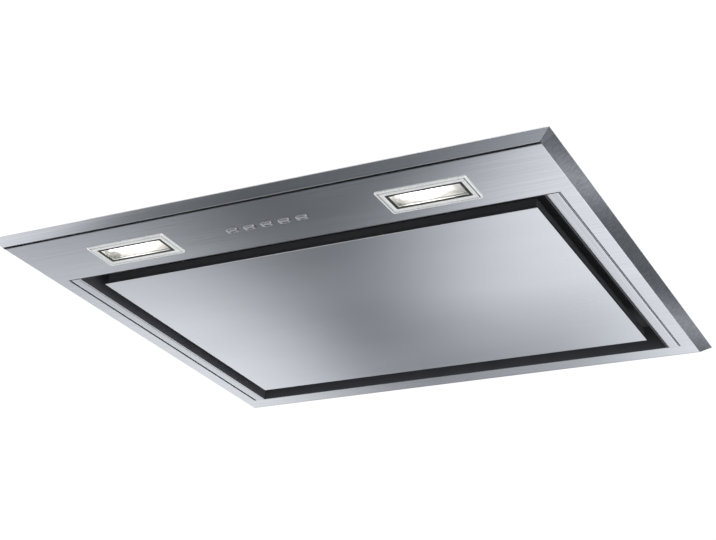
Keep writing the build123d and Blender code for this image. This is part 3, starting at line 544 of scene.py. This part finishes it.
steel_across = brushed_steel(
    "brushed_steel_across", turn=0.0, dark=(0.71, 0.725, 0.75), light=(0.845, 0.86, 0.885),
    rough=0.19, lines=0.35,
)
steel_lengthwise = brushed_steel(
    "brushed_steel_lengthwise", turn=math.pi / 2, dark=(0.68, 0.69, 0.715), light=(0.83, 0.84, 0.865),
    rough=0.24, lines=0.6,
)
eased_copy("underside_pan", "hood", width=0.00025, segments=2, finish=steel_across)
eased_copy("front_trim", "hood", width=0.0003, segments=2, finish=steel_across)


def blocks(name, body, finish, corners):
    """A few plain blocks as one piece, each given by its low and high corner."""
    points, faces = [], []
    for low, high in corners:
        start = len(points)
        points += [(x, y, z) for x in (low[0], high[0]) for y in (low[1], high[1]) for z in (low[2], high[2])]
        for face in ((0, 1, 3, 2), (4, 6, 7, 5), (0, 4, 5, 1), (2, 3, 7, 6), (0, 2, 6, 4), (1, 5, 7, 3)):
            faces.append([start + corner for corner in face])
    mesh = bpy.data.meshes.new(name)
    mesh.from_pydata(points, [], faces)
    mesh.materials.append(finish)
    piece = placed(name, mesh)
    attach(piece, body)
    return piece


slot_end_x, slot_end_width = (-0.2872, 0.2735), 0.0137
slot_end_low, slot_end_high = (-0.24676, 0.0027), (-0.2459, 0.0101)
corners = [((x, *slot_end_low), (x + slot_end_width, *slot_end_high)) for x in slot_end_x]
ends = blocks("slot_ends", "hood", steel_across, corners)

fold_steps = 6


def folded_strip(name, low, high, sheet, radius, finish):
    """A narrow sheet-metal channel along y, open above, with well rounded folds."""
    outer, inner = [], []
    for wall, line in ((0.0, outer), (sheet, inner)):
        line.append((low[0] + wall, high[2]))
        reach, centre_z = radius - wall, low[2] + radius
        for middle, start in ((low[0] + radius, 180), (high[0] - radius, 270)):
            for step in range(fold_steps + 1):
                angle = math.radians(start + 90 * step / fold_steps)
                line.append((middle + reach * math.cos(angle), centre_z + reach * math.sin(angle)))
        line.append((high[0] - wall, high[2]))
    shell = bmesh.new()
    rows = []
    for y in (low[1], high[1]):
        for line in (outer, inner):
            rows.append([shell.verts.new((x, y, z)) for x, z in line])
    for here, there in ((0, 2), (1, 3), (0, 1), (2, 3)):
        for i in range(len(outer) - 1):
            shell.faces.new((rows[here][i], rows[here][i + 1], rows[there][i + 1], rows[there][i]))
    for end in (0, -1):
        shell.faces.new([rows[k][end] for k in (0, 1, 3, 2)])
    bmesh.ops.recalc_face_normals(shell, faces=shell.faces)
    mesh = bpy.data.meshes.new(name)
    shell.to_mesh(mesh)
    shell.free()
    settle_normals(mesh)
    mesh.materials.append(finish)
    return placed(name, mesh)


strip_sheet, strip_radius = 0.0008, 0.0022
for side in ("left", "right"):
    low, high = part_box(side + "_side_trim")
    strip = folded_strip(side + "_side_strip", low, high, strip_sheet, strip_radius, steel_lengthwise)
    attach(strip, "hood")
    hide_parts(side + "_side_trim")


# Suction channel
# Black powder-coated steel frame round the panel, a recess that the air is drawn through.
# The hinge brackets under its ledge have the same coat.
grain_low, grain_high = 0.2, 0.8
grain_per_cloud = 40
grain_sheen = 0.07


def grainy(name, dark, light, rough, scale, strength, depth, metal=0.0):
    """A coat or a moulding with a fine grain: powder coat, textured plastic or ceramic."""
    finish, tree, shader = new_finish(name)
    shader.inputs["Metallic"].default_value = metal
    fine = noise_on(tree, scale, detail=3.0)
    clouds = ranged(tree, noise_on(tree, scale / grain_per_cloud), noise_low, noise_high, 0, 1)
    sheen = ranged(tree, fine, grain_low, grain_high, rough - grain_sheen, rough + grain_sheen)
    tree.links.new(two_tones(tree, clouds, dark, light), shader.inputs["Base Color"])
    tree.links.new(sheen, shader.inputs["Roughness"])
    relief(tree, fine, strength, depth, shader)
    return finish


def dress(finish, *names):
    """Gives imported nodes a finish."""
    for name in names:
        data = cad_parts[name].data
        data.materials.clear()
        data.materials.append(finish)


powder_coat = grainy(
    "black_powder_coat", (0.050, 0.052, 0.058), (0.062, 0.064, 0.071),
    rough=0.55, scale=1400.0, strength=0.25, depth=0.00006,
)
dress(powder_coat, "suction_frame", "hinge_brackets")


# Suction panel
# A flat steel face with a low folded hem, closed at the back by a black stiffening tray.
# It hangs on two pins at the back and clips on two tongues at the front.
steel_panel = brushed_steel(
    "brushed_steel_panel", turn=0.0, dark=(0.795, 0.81, 0.84), light=(0.845, 0.86, 0.89),
    rough=0.19, lines=0.15,
)
eased_copy("panel_skin", "panel", width=0.0004, segments=3, finish=steel_panel)

rolled_sheen = 0.06


def rolled_metal(name, dark, light, rough, scale):
    """Plain rolled or drawn metal with a faint uneven sheen."""
    finish, tree, shader = new_finish(name)
    shader.inputs["Metallic"].default_value = 1.0
    cloud = noise_on(tree, scale, detail=4.0)
    clouds = ranged(tree, cloud, noise_low, noise_high, 0, 1)
    sheen = ranged(tree, cloud, noise_low, noise_high, rough - rolled_sheen, rough + rolled_sheen)
    tree.links.new(two_tones(tree, clouds, dark, light), shader.inputs["Base Color"])
    tree.links.new(sheen, shader.inputs["Roughness"])
    relief(tree, cloud, strength=0.1, depth=0.00005, shader=shader)
    return finish


spring_steel = rolled_metal("spring_steel", (0.36, 0.37, 0.39), (0.5, 0.51, 0.53), rough=0.3, scale=240.0)
dress(powder_coat, "panel_tray", "panel_hinge_lugs")
dress(spring_steel, "panel_catches", "catch_tongues", "hinge_pins")


# Grease filters
# Two aluminium frames lie side by side on the ledge, each with a pleated expanded mesh in its groove.
# A plastic finger slide at the front of each holds it.
aluminium = rolled_metal(
    "filter_aluminium", (0.68, 0.69, 0.70), (0.80, 0.81, 0.82), rough=0.38, scale=160.0
)
mesh_aluminium = rolled_metal(
    "filter_mesh", (0.66, 0.67, 0.68), (0.84, 0.85, 0.86), rough=0.42, scale=500.0
)
dress(aluminium, "left_filter_frame", "right_filter_frame")


def tree_with(name, inputs):
    """A Geometry Nodes tree with named inputs, its two end nodes, and the ways to add, link and do sums."""
    tree = bpy.data.node_groups.new(name, "GeometryNodeTree")
    tree.interface.new_socket(name="Geometry", in_out="INPUT", socket_type="NodeSocketGeometry")
    for socket, kind in inputs:
        tree.interface.new_socket(name=socket, in_out="INPUT", socket_type=kind)
    tree.interface.new_socket(name="Geometry", in_out="OUTPUT", socket_type="NodeSocketGeometry")
    add, link = node_tool(tree)

    def maths(operation, a, b):
        """One sum on fields; a number is set on its socket."""
        node = add("ShaderNodeMath", operation=operation)
        for socket, value in zip(node.inputs, (a, b)):
            if isinstance(value, (int, float)):
                socket.default_value = value
            else:
                link(value, socket)
        return node.outputs[0]

    return tree, tree.nodes.new("NodeGroupInput"), tree.nodes.new("NodeGroupOutput"), add, link, maths


def coated(shape, given, made, add, link):
    """Ends a tree: makes its shape real and gives it the finish that was handed in."""
    real = add("GeometryNodeRealizeInstances")
    link(shape, real.inputs[0])
    coat = add("GeometryNodeSetMaterial")
    link(real.outputs[0], coat.inputs["Geometry"])
    link(given.outputs["Finish"], coat.inputs["Material"])
    link(coat.outputs[0], made.inputs["Geometry"])


def grown(name, tree, values, start):
    """Runs a Geometry Nodes tree on a start mesh and gives the result as a plain mesh."""
    draft = placed(name + "_draft", start)
    modifier = draft.modifiers.new("grow", "NODES")
    modifier.node_group = tree
    for item in tree.interface.items_tree:
        if item.item_type == "SOCKET" and item.in_out == "INPUT" and item.name in values:
            modifier[item.identifier] = values[item.name]
    bpy.context.view_layer.update()
    made = bpy.data.meshes.new_from_object(draft.evaluated_get(bpy.context.evaluated_depsgraph_get()))
    draft.modifiers.clear()
    bpy.data.objects.remove(draft)
    made.name = name
    return placed(name, made)


strand_sides = 3


def expanded_mesh_tree():
    """Diamond mesh of thin strands, folded into pleats."""
    numbers = ("Width", "Depth", "Diamond Width", "Diamond Depth", "Strand", "Pleat", "Rise")
    others = [("Middle", "NodeSocketVector"), ("Finish", "NodeSocketMaterial")]
    tree, given, made, add, link, maths = tree_with(
        "expanded_mesh", [(socket, "NodeSocketFloat") for socket in numbers] + others
    )
    width, depth = given.outputs["Width"], given.outputs["Depth"]
    step_x, step_y = given.outputs["Diamond Width"], given.outputs["Diamond Depth"]
    pleat, rise = given.outputs["Pleat"], given.outputs["Rise"]
    count = maths("ADD", maths("DIVIDE", width, step_x), maths("DIVIDE", depth, step_y))
    sheet = add("GeometryNodeMeshGrid")
    sheet.inputs["Size X"].default_value = 1.0
    sheet.inputs["Size Y"].default_value = 1.0
    for socket in ("Vertices X", "Vertices Y"):
        link(maths("ADD", count, 3.0), sheet.inputs[socket])
    place = add("GeometryNodeInputPosition")
    split = add("ShaderNodeSeparateXYZ")
    link(place.outputs[0], split.inputs[0])
    spread = maths("ADD", count, 2.0)
    a = maths("MULTIPLY", split.outputs[0], spread)
    b = maths("MULTIPLY", split.outputs[1], spread)
    x = maths("MULTIPLY", maths("ADD", a, b), maths("MULTIPLY", step_x, 0.5))
    y = maths("MULTIPLY", maths("SUBTRACT", a, b), maths("MULTIPLY", step_y, 0.5))
    fold = maths("PINGPONG", maths("ADD", x, maths("MULTIPLY", width, 0.5)), pleat)
    z = maths("MULTIPLY", maths("DIVIDE", fold, pleat), rise)
    where = add("ShaderNodeCombineXYZ")
    for socket, value in zip(where.inputs, (x, y, z)):
        link(value, socket)
    laid = add("GeometryNodeSetPosition")
    link(sheet.outputs["Mesh"], laid.inputs["Geometry"])
    link(where.outputs[0], laid.inputs["Position"])
    seen = add("GeometryNodeInputPosition")
    parts = add("ShaderNodeSeparateXYZ")
    link(seen.outputs[0], parts.inputs[0])
    outside = []
    for axis, size in ((0, width), (1, depth)):
        reach = maths("ABSOLUTE", parts.outputs[axis], 0.0)
        outside.append(maths("GREATER_THAN", reach, maths("MULTIPLY", size, 0.5)))
    trimmed = add("GeometryNodeDeleteGeometry", domain="POINT")
    link(laid.outputs[0], trimmed.inputs["Geometry"])
    link(maths("MAXIMUM", *outside), trimmed.inputs["Selection"])
    strands = add("GeometryNodeMeshToCurve")
    link(trimmed.outputs[0], strands.inputs["Mesh"])
    profile = add("GeometryNodeCurvePrimitiveCircle")
    profile.inputs["Resolution"].default_value = strand_sides
    link(given.outputs["Strand"], profile.inputs["Radius"])
    wire = add("GeometryNodeCurveToMesh")
    wire.inputs["Fill Caps"].default_value = True
    link(strands.outputs[0], wire.inputs["Curve"])
    link(profile.outputs[0], wire.inputs["Profile Curve"])
    moved = add("GeometryNodeTransform")
    link(wire.outputs[0], moved.inputs["Geometry"])
    link(given.outputs["Middle"], moved.inputs["Translation"])
    coated(moved.outputs[0], given, made, add, link)
    return tree


net_room = 0.001
mesh_tree = expanded_mesh_tree()
for side in ("left", "right"):
    low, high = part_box(side + "_filter_mesh")
    net = grown(
        side + "_filter_net",
        mesh_tree,
        {
            "Width": high[0] - low[0] - net_room,
            "Depth": high[1] - low[1] - net_room,
            "Diamond Width": 0.0038,
            "Diamond Depth": 0.0076,
            "Strand": 0.00048,
            "Pleat": 0.0082,
            "Rise": high[2] - low[2] - net_room,
            "Middle": ((low[0] + high[0]) / 2, (low[1] + high[1]) / 2, low[2] + net_room / 2),
            "Finish": mesh_aluminium,
        },
        bpy.data.meshes.new("start"),
    )
    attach(net, "hood")
    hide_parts(side + "_filter_mesh")

latch_plastic = grainy(
    "latch_plastic", (0.020, 0.020, 0.022), (0.030, 0.030, 0.033),
    rough=0.42, scale=900.0, strength=0.3, depth=0.00008,
)
dress(latch_plastic, "left_filter_latch", "right_filter_latch")


# Plenum, blower housing and side brackets
# Folded from hot-dip galvanised sheet; the zinc shows as a soft pattern of grey crystals.
# The brackets at the sides are the same sheet, thicker, and screw to the cabinet.
crystal_bend = 0.003


def spangle_group():
    """Crystals of a zinc coat: each has its own tone and its own sheen."""
    tree, given, made = new_group(
        "zinc_spangle",
        [("Place", "NodeSocketVector", None), ("Crystals", "NodeSocketFloat", 120.0)],
        [("Tone", "NodeSocketFloat"), ("Sheen", "NodeSocketFloat")],
    )
    add, link = node_tool(tree)
    bend = add("ShaderNodeTexNoise")
    bend.inputs["Scale"].default_value = 60.0
    link(given.outputs["Place"], bend.inputs["Vector"])
    shift = add("ShaderNodeVectorMath", operation="MULTIPLY_ADD")
    shift.inputs[1].default_value = (crystal_bend, crystal_bend, crystal_bend)
    link(bend.outputs["Color"], shift.inputs[0])
    link(given.outputs["Place"], shift.inputs[2])
    cells = add("ShaderNodeTexVoronoi")
    link(shift.outputs[0], cells.inputs["Vector"])
    link(given.outputs["Crystals"], cells.inputs["Scale"])
    tones = add("ShaderNodeSeparateColor")
    link(cells.outputs["Color"], tones.inputs[0])
    link(tones.outputs[0], made.inputs["Tone"])
    link(tones.outputs[1], made.inputs["Sheen"])
    return tree


zinc_spangle = spangle_group()
zinc_rough = (0.34, 0.5)


def galvanised(name, dark, light, crystals):
    """Zinc-coated steel sheet."""
    finish, tree, shader = new_finish(name)
    add, link = node_tool(tree)
    shader.inputs["Metallic"].default_value = 1.0
    place = add("ShaderNodeTexCoord")
    zinc = add("ShaderNodeGroup", node_tree=zinc_spangle)
    zinc.inputs["Crystals"].default_value = crystals
    link(place.outputs["Object"], zinc.inputs["Place"])
    link(two_tones(tree, zinc.outputs["Tone"], dark, light), shader.inputs["Base Color"])
    link(ranged(tree, zinc.outputs["Sheen"], 0, 1, *zinc_rough), shader.inputs["Roughness"])
    dust = noise_on(tree, 700.0)
    relief(tree, dust, strength=0.12, depth=0.00005, shader=shader)
    return finish


zinc_sheet = galvanised("galvanised_sheet", (0.46, 0.475, 0.49), (0.57, 0.585, 0.60), crystals=130.0)
dress(zinc_sheet, "plenum_box", "motor_housing", "left_bracket", "right_bracket")


# Blower
# A forward-curved wheel turns in the scroll, driven by a capacitor motor held in the inlet by a spider.
# Wheel and inlet ring are drawn from bright zinc-coated sheet, the motor has cast aluminium ends.
bright_zinc = rolled_metal("bright_zinc", (0.60, 0.61, 0.62), (0.72, 0.73, 0.74), rough=0.32, scale=180.0)
cast_aluminium = grainy(
    "cast_aluminium", (0.44, 0.45, 0.46), (0.54, 0.55, 0.56),
    rough=0.5, scale=800.0, strength=0.4, depth=0.0001, metal=0.9,
)
dress(zinc_sheet, "scroll_base", "scroll_cover")
dress(bright_zinc, "impeller", "inlet_ring", "motor_bracket")
dress(cast_aluminium, "motor")
dress(spring_steel, "motor_shaft")


# Outlet
# A round collar of grey plastic takes the duct; two half-round flaps fall shut on its stops.
# The flaps turn on one steel rod across the collar, with a small gap where their knuckles meet.
collar_plastic = grainy(
    "collar_plastic", (0.040, 0.041, 0.044), (0.055, 0.056, 0.060),
    rough=0.45, scale=700.0, strength=0.35, depth=0.0001,
)
flap_plastic = grainy(
    "flap_plastic", (0.10, 0.102, 0.106), (0.125, 0.127, 0.13),
    rough=0.42, scale=700.0, strength=0.3, depth=0.00008,
)
dress(collar_plastic, "duct_collar")
dress(spring_steel, "flap_spindle")

# Three knuckles share 88 mm of the rod, so the middle one ends at a third of half of it.
knuckle_end = 0.044 / 3
knuckle_gap = 0.00015
knuckle_near = 0.00002


def freed_flap(name, way):
    """
    The flap with a small gap at the ends of its knuckles, so that both can stand open side by side.
    Way is 1 if its knuckles are the outer ones, and -1 if it has the middle one.
    """
    low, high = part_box(name)
    middle = (low[1] + high[1]) / 2
    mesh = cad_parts[name].data.copy()
    for vertex in mesh.vertices:
        off = vertex.co.y - middle
        if abs(abs(off) - knuckle_end) < knuckle_near:
            vertex.co.y += way * math.copysign(knuckle_gap, off)
    mesh.materials.clear()
    mesh.materials.append(flap_plastic)
    piece = placed(name + "_freed", mesh)
    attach(piece, name)
    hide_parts(name)


freed_flap("left_flap", way=1)
freed_flap("right_flap", way=-1)


# Electrical parts on the plenum
# A terminal box with its gland, the motor's run capacitor and the lamps' transformer.
# The boxes are flame-retardant plastic, the transformer is potted in a black case.

# Dark and light tone, roughness, scale of the grain, and strength and depth of its relief.
mouldings = {
    "box_plastic": ((0.60, 0.61, 0.62), (0.66, 0.67, 0.68), 0.5, 600.0, 0.35, 0.0001),
    "gland_plastic": ((0.050, 0.050, 0.054), (0.065, 0.065, 0.070), 0.42, 900.0, 0.3, 0.00008),
    "capacitor_can": ((0.72, 0.72, 0.70), (0.78, 0.78, 0.76), 0.38, 500.0, 0.15, 0.00006),
    "transformer_case": ((0.025, 0.026, 0.030), (0.035, 0.036, 0.040), 0.5, 500.0, 0.4, 0.00012),
    "switch_plastic": ((0.045, 0.045, 0.048), (0.060, 0.060, 0.064), 0.45, 900.0, 0.3, 0.00008),
}
made_of = {name: grainy(name, *look) for name, look in mouldings.items()}
dress(made_of["box_plastic"], "terminal_box", "terminal_box_cover")
dress(made_of["gland_plastic"], "cable_gland")
dress(made_of["capacitor_can"], "capacitor")
dress(made_of["transformer_case"], "lamp_transformer")
dress(made_of["switch_plastic"], "switch_body")


# Lamps
# Each lamp is a satin metal frame with a pane of glass, over a bright reflector and a halogen capsule.
# A thin black gasket shows as a dark line round the pane; spring clips hold the can in the pan.
corner_steps = 6
least_corner = 0.0003


def rounded_outline(centre, half_x, half_y, radius, height):
    """Points of a rounded rectangle, counter-clockwise."""
    points = []
    for quarter, (sx, sy) in enumerate(((1, 1), (-1, 1), (-1, -1), (1, -1))):
        for step in range(corner_steps + 1):
            angle = math.radians(90) * (quarter + step / corner_steps)
            x = centre[0] + sx * (half_x - radius) + radius * math.cos(angle)
            y = centre[1] + sy * (half_y - radius) + radius * math.sin(angle)
            points.append((x, y, height))
    return points


def ring_mesh(name, centre, half_x, half_y, corner, profile):
    """A closed frame with this profile all round; a point of it is an inset in x, one in y, and a height."""
    shell = bmesh.new()
    loops = []
    for inset_x, inset_y, height in profile:
        radius = max(corner - min(inset_x, inset_y), least_corner)
        outline = rounded_outline(centre, half_x - inset_x, half_y - inset_y, radius, height)
        loops.append([shell.verts.new(p) for p in outline])
    for here, there in zip(loops, loops[1:] + loops[:1]):
        for i in range(len(here)):
            j = (i + 1) % len(here)
            shell.faces.new((here[i], here[j], there[j], there[i]))
    bmesh.ops.recalc_face_normals(shell, faces=shell.faces)
    mesh = bpy.data.meshes.new(name)
    shell.to_mesh(mesh)
    shell.free()
    settle_normals(mesh)
    return placed(name, mesh)


def seen_from_below(low, high):
    """The middle of a box, half its width and half its depth."""
    middle = ((low[0] + high[0]) / 2, (low[1] + high[1]) / 2)
    return middle, (high[0] - low[0]) / 2, (high[1] - low[1]) / 2


satin_bezel = grainy(
    "satin_bezel", (0.80, 0.81, 0.79), (0.90, 0.91, 0.89),
    rough=0.3, scale=900.0, strength=0.1, depth=0.00004, metal=0.35,
)
gasket_rubber = grainy(
    "gasket_rubber", (0.012, 0.012, 0.012), (0.020, 0.020, 0.020),
    rough=0.6, scale=1500.0, strength=0.3, depth=0.00005,
)
mirror_finish = rolled_metal(
    "reflector_aluminium", (0.86, 0.86, 0.85), (0.93, 0.93, 0.92), rough=0.12, scale=120.0
)
ceramic = grainy(
    "socket_ceramic", (0.74, 0.72, 0.68), (0.80, 0.78, 0.74),
    rough=0.45, scale=900.0, strength=0.2, depth=0.00005,
)

lens_glass, tree, shader = new_finish("lamp_glass")
shader.inputs["Base Color"].default_value = (1.0, 1.0, 1.0, 1)
shader.inputs["Transmission Weight"].default_value = 1.0
shader.inputs["IOR"].default_value = 1.46
frost = noise_on(tree, 900.0)
tree.links.new(ranged(tree, frost, noise_low, noise_high, 0.30, 0.40), shader.inputs["Roughness"])
relief(tree, frost, strength=0.15, depth=0.00008, shader=shader)

bulb_glow, tree, shader = new_finish("bulb_glow")
shader.inputs["Base Color"].default_value = (0.95, 0.95, 0.93, 1)
shader.inputs["Roughness"].default_value = 0.2
shader.inputs["Emission Strength"].default_value = 9.0
glow_tone = two_tones(tree, noise_on(tree, 90.0), dark=(1.0, 0.95, 0.86), light=(1.0, 0.98, 0.93))
tree.links.new(glow_tone, shader.inputs["Emission Color"])

bezel_corner, gasket_corner = 0.0022, 0.0012
bezel_profile = [
    (0.0, 0.0, 0.0020),
    (0.0, 0.0, 0.0015),
    (0.0003, 0.0003, 0.0010),
    (0.0008, 0.0008, 0.0008),
    (0.0019, 0.0019, 0.0008),
    (0.0021, 0.0021, 0.0020),
    (0.0032, 0.0032, 0.0020),
    (0.0034, 0.0034, 0.0008),
    (0.0058, 0.0060, 0.0008),
    (0.0068, 0.0071, 0.0009),
    (0.0073, 0.0077, 0.0012),
    (0.0073, 0.0077, 0.0040),
    (0.0067, 0.0072, 0.0040),
    (0.0067, 0.0072, 0.0070),
    (0.0038, 0.0033, 0.0070),
    (0.0038, 0.0033, 0.0020),
]
gasket_half_x, gasket_half_y = 0.0381, 0.0137
gasket_profile = [(0.0, 0.0, 0.0010), (0.0, 0.0, 0.0017), (0.0027, 0.0025, 0.0017), (0.0027, 0.0025, 0.0010)]

for side in ("left", "right"):
    low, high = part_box(side + "_lamp_bezel")
    centre, half_x, half_y = seen_from_below(low, high)
    bezel = ring_mesh(side + "_lamp_frame", centre, half_x, half_y, bezel_corner, bezel_profile)
    bezel.data.materials.append(satin_bezel)
    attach(bezel, "hood")
    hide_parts(side + "_lamp_bezel")
    gasket = ring_mesh(
        side + "_lamp_gasket", centre, gasket_half_x, gasket_half_y, gasket_corner, gasket_profile
    )
    gasket.data.materials.append(gasket_rubber)
    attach(gasket, "hood")
    eased_copy(side + "_lamp_glass", "hood", width=0.0006, segments=3, finish=lens_glass)
    dress(mirror_finish, side + "_lamp_reflector")
    dress(bulb_glow, side + "_lamp_bulb")
    dress(ceramic, side + "_lamp_socket")
    dress(zinc_sheet, side + "_lamp_housing")
dress(spring_steel, "lamp_clips")


# Push buttons
# Five chromed metal caps with softly rounded edges and a small dimple in the middle.
# They slide in the switch block behind the pan and spring back.
chrome = rolled_metal("button_chrome", (0.36, 0.37, 0.39), (0.44, 0.45, 0.47), rough=0.30, scale=400.0)
cap_corner = 0.0020
cap_profile = [
    (0.0, 0.0, 0.0024),
    (0.0002, 0.0002, 0.0017),
    (0.0006, 0.0006, 0.0011),
    (0.0012, 0.0012, 0.0006),
    (0.0021, 0.0018, 0.00025),
    (0.0033, 0.0024, 0.0),
    (0.0048, 0.0027, 0.0),
    (0.0050, 0.0029, 0.0003),
    (0.0051, 0.0030, 0.0020),
]
for number in range(1, 6):
    low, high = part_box("button_%d" % number)
    back = [(0.0051, 0.0030, high[2]), (0.0, 0.0, high[2])]
    button = ring_mesh(
        "button_cap_%d" % number, *seen_from_below(low, high), cap_corner, back + cap_profile
    )
    button.data.materials.append(chrome)
    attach(button, "button_%d" % number)
    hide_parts("button_%d" % number)


# Screws
# Small pan-head screws with a cross recess hold the boxes, brackets and electrical parts together.
# They are zinc-plated steel, and the cross of each stands at its own angle.
head_sides = 20
crown_share = 0.66
skirt_middle, crown_start = 0.25, 0.4999
cross_length, cross_width = 0.56, 0.13


def screw_tree():
    """Pan-head screws on points; each point's facing says where its head looks."""
    numbers = [(socket, "NodeSocketFloat") for socket in ("Head Width", "Head Height", "Cross")]
    others = [("Seed", "NodeSocketInt"), ("Finish", "NodeSocketMaterial")]
    tree, given, made, add, link, maths = tree_with("screws", numbers + others)
    radius = maths("MULTIPLY", given.outputs["Head Width"], 0.5)
    height = given.outputs["Head Height"]
    skirt = add("GeometryNodeMeshCylinder")
    skirt.inputs["Vertices"].default_value = head_sides
    link(radius, skirt.inputs["Radius"])
    link(maths("MULTIPLY", height, 0.5), skirt.inputs["Depth"])
    crown = add("GeometryNodeMeshCone")
    crown.inputs["Vertices"].default_value = head_sides
    link(maths("MULTIPLY", radius, crown_share), crown.inputs["Radius Top"])
    link(radius, crown.inputs["Radius Bottom"])
    link(maths("MULTIPLY", height, 0.5), crown.inputs["Depth"])

    def lifted(mesh, amount):
        place = add("ShaderNodeCombineXYZ")
        link(amount, place.inputs[2])
        move = add("GeometryNodeTransform")
        link(mesh, move.inputs["Geometry"])
        link(place.outputs[0], move.inputs["Translation"])
        return move.outputs[0]

    head = add("GeometryNodeMeshBoolean", operation="UNION")
    link(lifted(skirt.outputs[0], maths("MULTIPLY", height, skirt_middle)), head.inputs["Mesh 2"])
    link(lifted(crown.outputs[0], maths("MULTIPLY", height, crown_start)), head.inputs["Mesh 2"])
    recess = add("GeometryNodeMeshBoolean", operation="DIFFERENCE")
    link(head.outputs[0], recess.inputs["Mesh 1"])
    length = maths("MULTIPLY", given.outputs["Head Width"], cross_length)
    for long_way in (0, 1):
        size = add("ShaderNodeCombineXYZ")
        link(length, size.inputs[long_way])
        link(given.outputs["Cross"], size.inputs[1 - long_way])
        link(height, size.inputs[2])
        bar = add("GeometryNodeMeshCube")
        link(size.outputs[0], bar.inputs["Size"])
        link(lifted(bar.outputs[0], height), recess.inputs["Mesh 2"])
    facing = add("GeometryNodeInputNamedAttribute", data_type="FLOAT_VECTOR")
    facing.inputs["Name"].default_value = "facing"
    aim = add("FunctionNodeAlignRotationToVector", axis="Z")
    link(facing.outputs[0], aim.inputs["Vector"])
    spin = add("FunctionNodeRandomValue", data_type="FLOAT")
    for socket in spin.inputs:
        if socket.name == "Max" and socket.type == "VALUE":
            socket.default_value = math.pi
    link(given.outputs["Seed"], spin.inputs["Seed"])
    about = add("FunctionNodeAxisAngleToRotation")
    about.inputs["Axis"].default_value = (0, 0, 1)
    link([s for s in spin.outputs if s.type == "VALUE" and s.enabled][0], about.inputs["Angle"])
    turned = add("FunctionNodeRotateRotation", rotation_space="LOCAL")
    link(aim.outputs[0], turned.inputs["Rotation"])
    link(about.outputs[0], turned.inputs["Rotate By"])
    set_out = add("GeometryNodeInstanceOnPoints")
    link(given.outputs["Geometry"], set_out.inputs["Points"])
    link(recess.outputs[0], set_out.inputs["Instance"])
    link(turned.outputs[0], set_out.inputs["Rotation"])
    coated(set_out.outputs[0], given, made, add, link)
    return tree


def screw_points(name, places):
    """A mesh of loose points, each with the way its screw head faces."""
    mesh = bpy.data.meshes.new(name)
    mesh.from_pydata([p for p, facing in places], [], [])
    facing_of = mesh.attributes.new("facing", "FLOAT_VECTOR", "POINT")
    facing_of.data.foreach_set("vector", [c for p, facing in places for c in facing])
    return mesh


screw_finish = rolled_metal("screw_zinc", (0.62, 0.63, 0.64), (0.76, 0.77, 0.78), rough=0.25, scale=900.0)
screws = screw_tree()
cross_seed = 7
up = (0, 0, 1)


def screws_on(name, places, width, height):
    """One group of like screws that stays with the hood."""
    sizes = {"Head Width": width, "Head Height": height, "Cross": width * cross_width}
    rest = {"Seed": cross_seed, "Finish": screw_finish}
    group = grown(name, screws, {**sizes, **rest}, screw_points(name + "_points", places))
    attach(group, "hood")


def at_corners(low, high, inset, level):
    """Screws looking up at the four corners of a box, a little way in."""
    across, along = (low[0] + inset, high[0] - inset), (low[1] + inset, high[1] - inset)
    return [((x, y, level), up) for x in across for y in along]


sheet = 0.0008
flange_inset = 0.0045
low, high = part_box("plenum_box")
flange_top = low[2] + sheet
rim_x = high[0] - flange_inset
places = [((side * rim_x, y, flange_top), up) for side in (-1, 1) for y in (-0.15, 0.20)]
for x in (-0.21, -0.07, 0.07, 0.21):
    places += [((x, y, flange_top), up) for y in (low[1] + flange_inset, high[1] - flange_inset)]
screws_on("plenum_screws", places, width=0.0066, height=0.0022)

foot_inset = 0.006
low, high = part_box("motor_housing")
foot_top = low[2] + sheet
places = [((side * (high[0] - foot_inset), y, foot_top), up) for side in (-1, 1) for y in (0.03, 0.17)]
places += [((x, low[1] + foot_inset, foot_top), up) for x in (-0.12, 0.0, 0.12)]
screws_on("housing_screws", places, width=0.0066, height=0.0022)

seat_top = 0.1615
low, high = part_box("duct_collar")
places = at_corners(low, high, inset=0.0055, level=seat_top)
screws_on("collar_screws", places, width=0.006, height=0.002)

bracket_sheet = 0.0015
bracket_row = 0.042
low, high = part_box("right_bracket")
face_x = low[0] + bracket_sheet
places = [((side * face_x, y, bracket_row), (side, 0, 0)) for side in (-1, 1) for y in (-0.10, 0.03, 0.16)]
screws_on("bracket_screws", places, width=0.0074, height=0.0026)

low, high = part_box("terminal_box_cover")
places = at_corners(low, high, inset=0.006, level=high[2])
ear_inset, ear_top = 0.007, 0.0025
low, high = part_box("capacitor")
middle_y = (low[1] + high[1]) / 2
places += [((x, middle_y, low[2] + ear_top), up) for x in (low[0] + ear_inset, high[0] - ear_inset)]
lug_inset, lug_top = 0.0045, 0.003
low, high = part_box("lamp_transformer")
middle_x = (low[0] + high[0]) / 2
places += [((middle_x, y, low[2] + lug_top), up) for y in (low[1] + lug_inset, high[1] - lug_inset)]
screws_on("electrical_screws", places, width=0.0056, height=0.002)
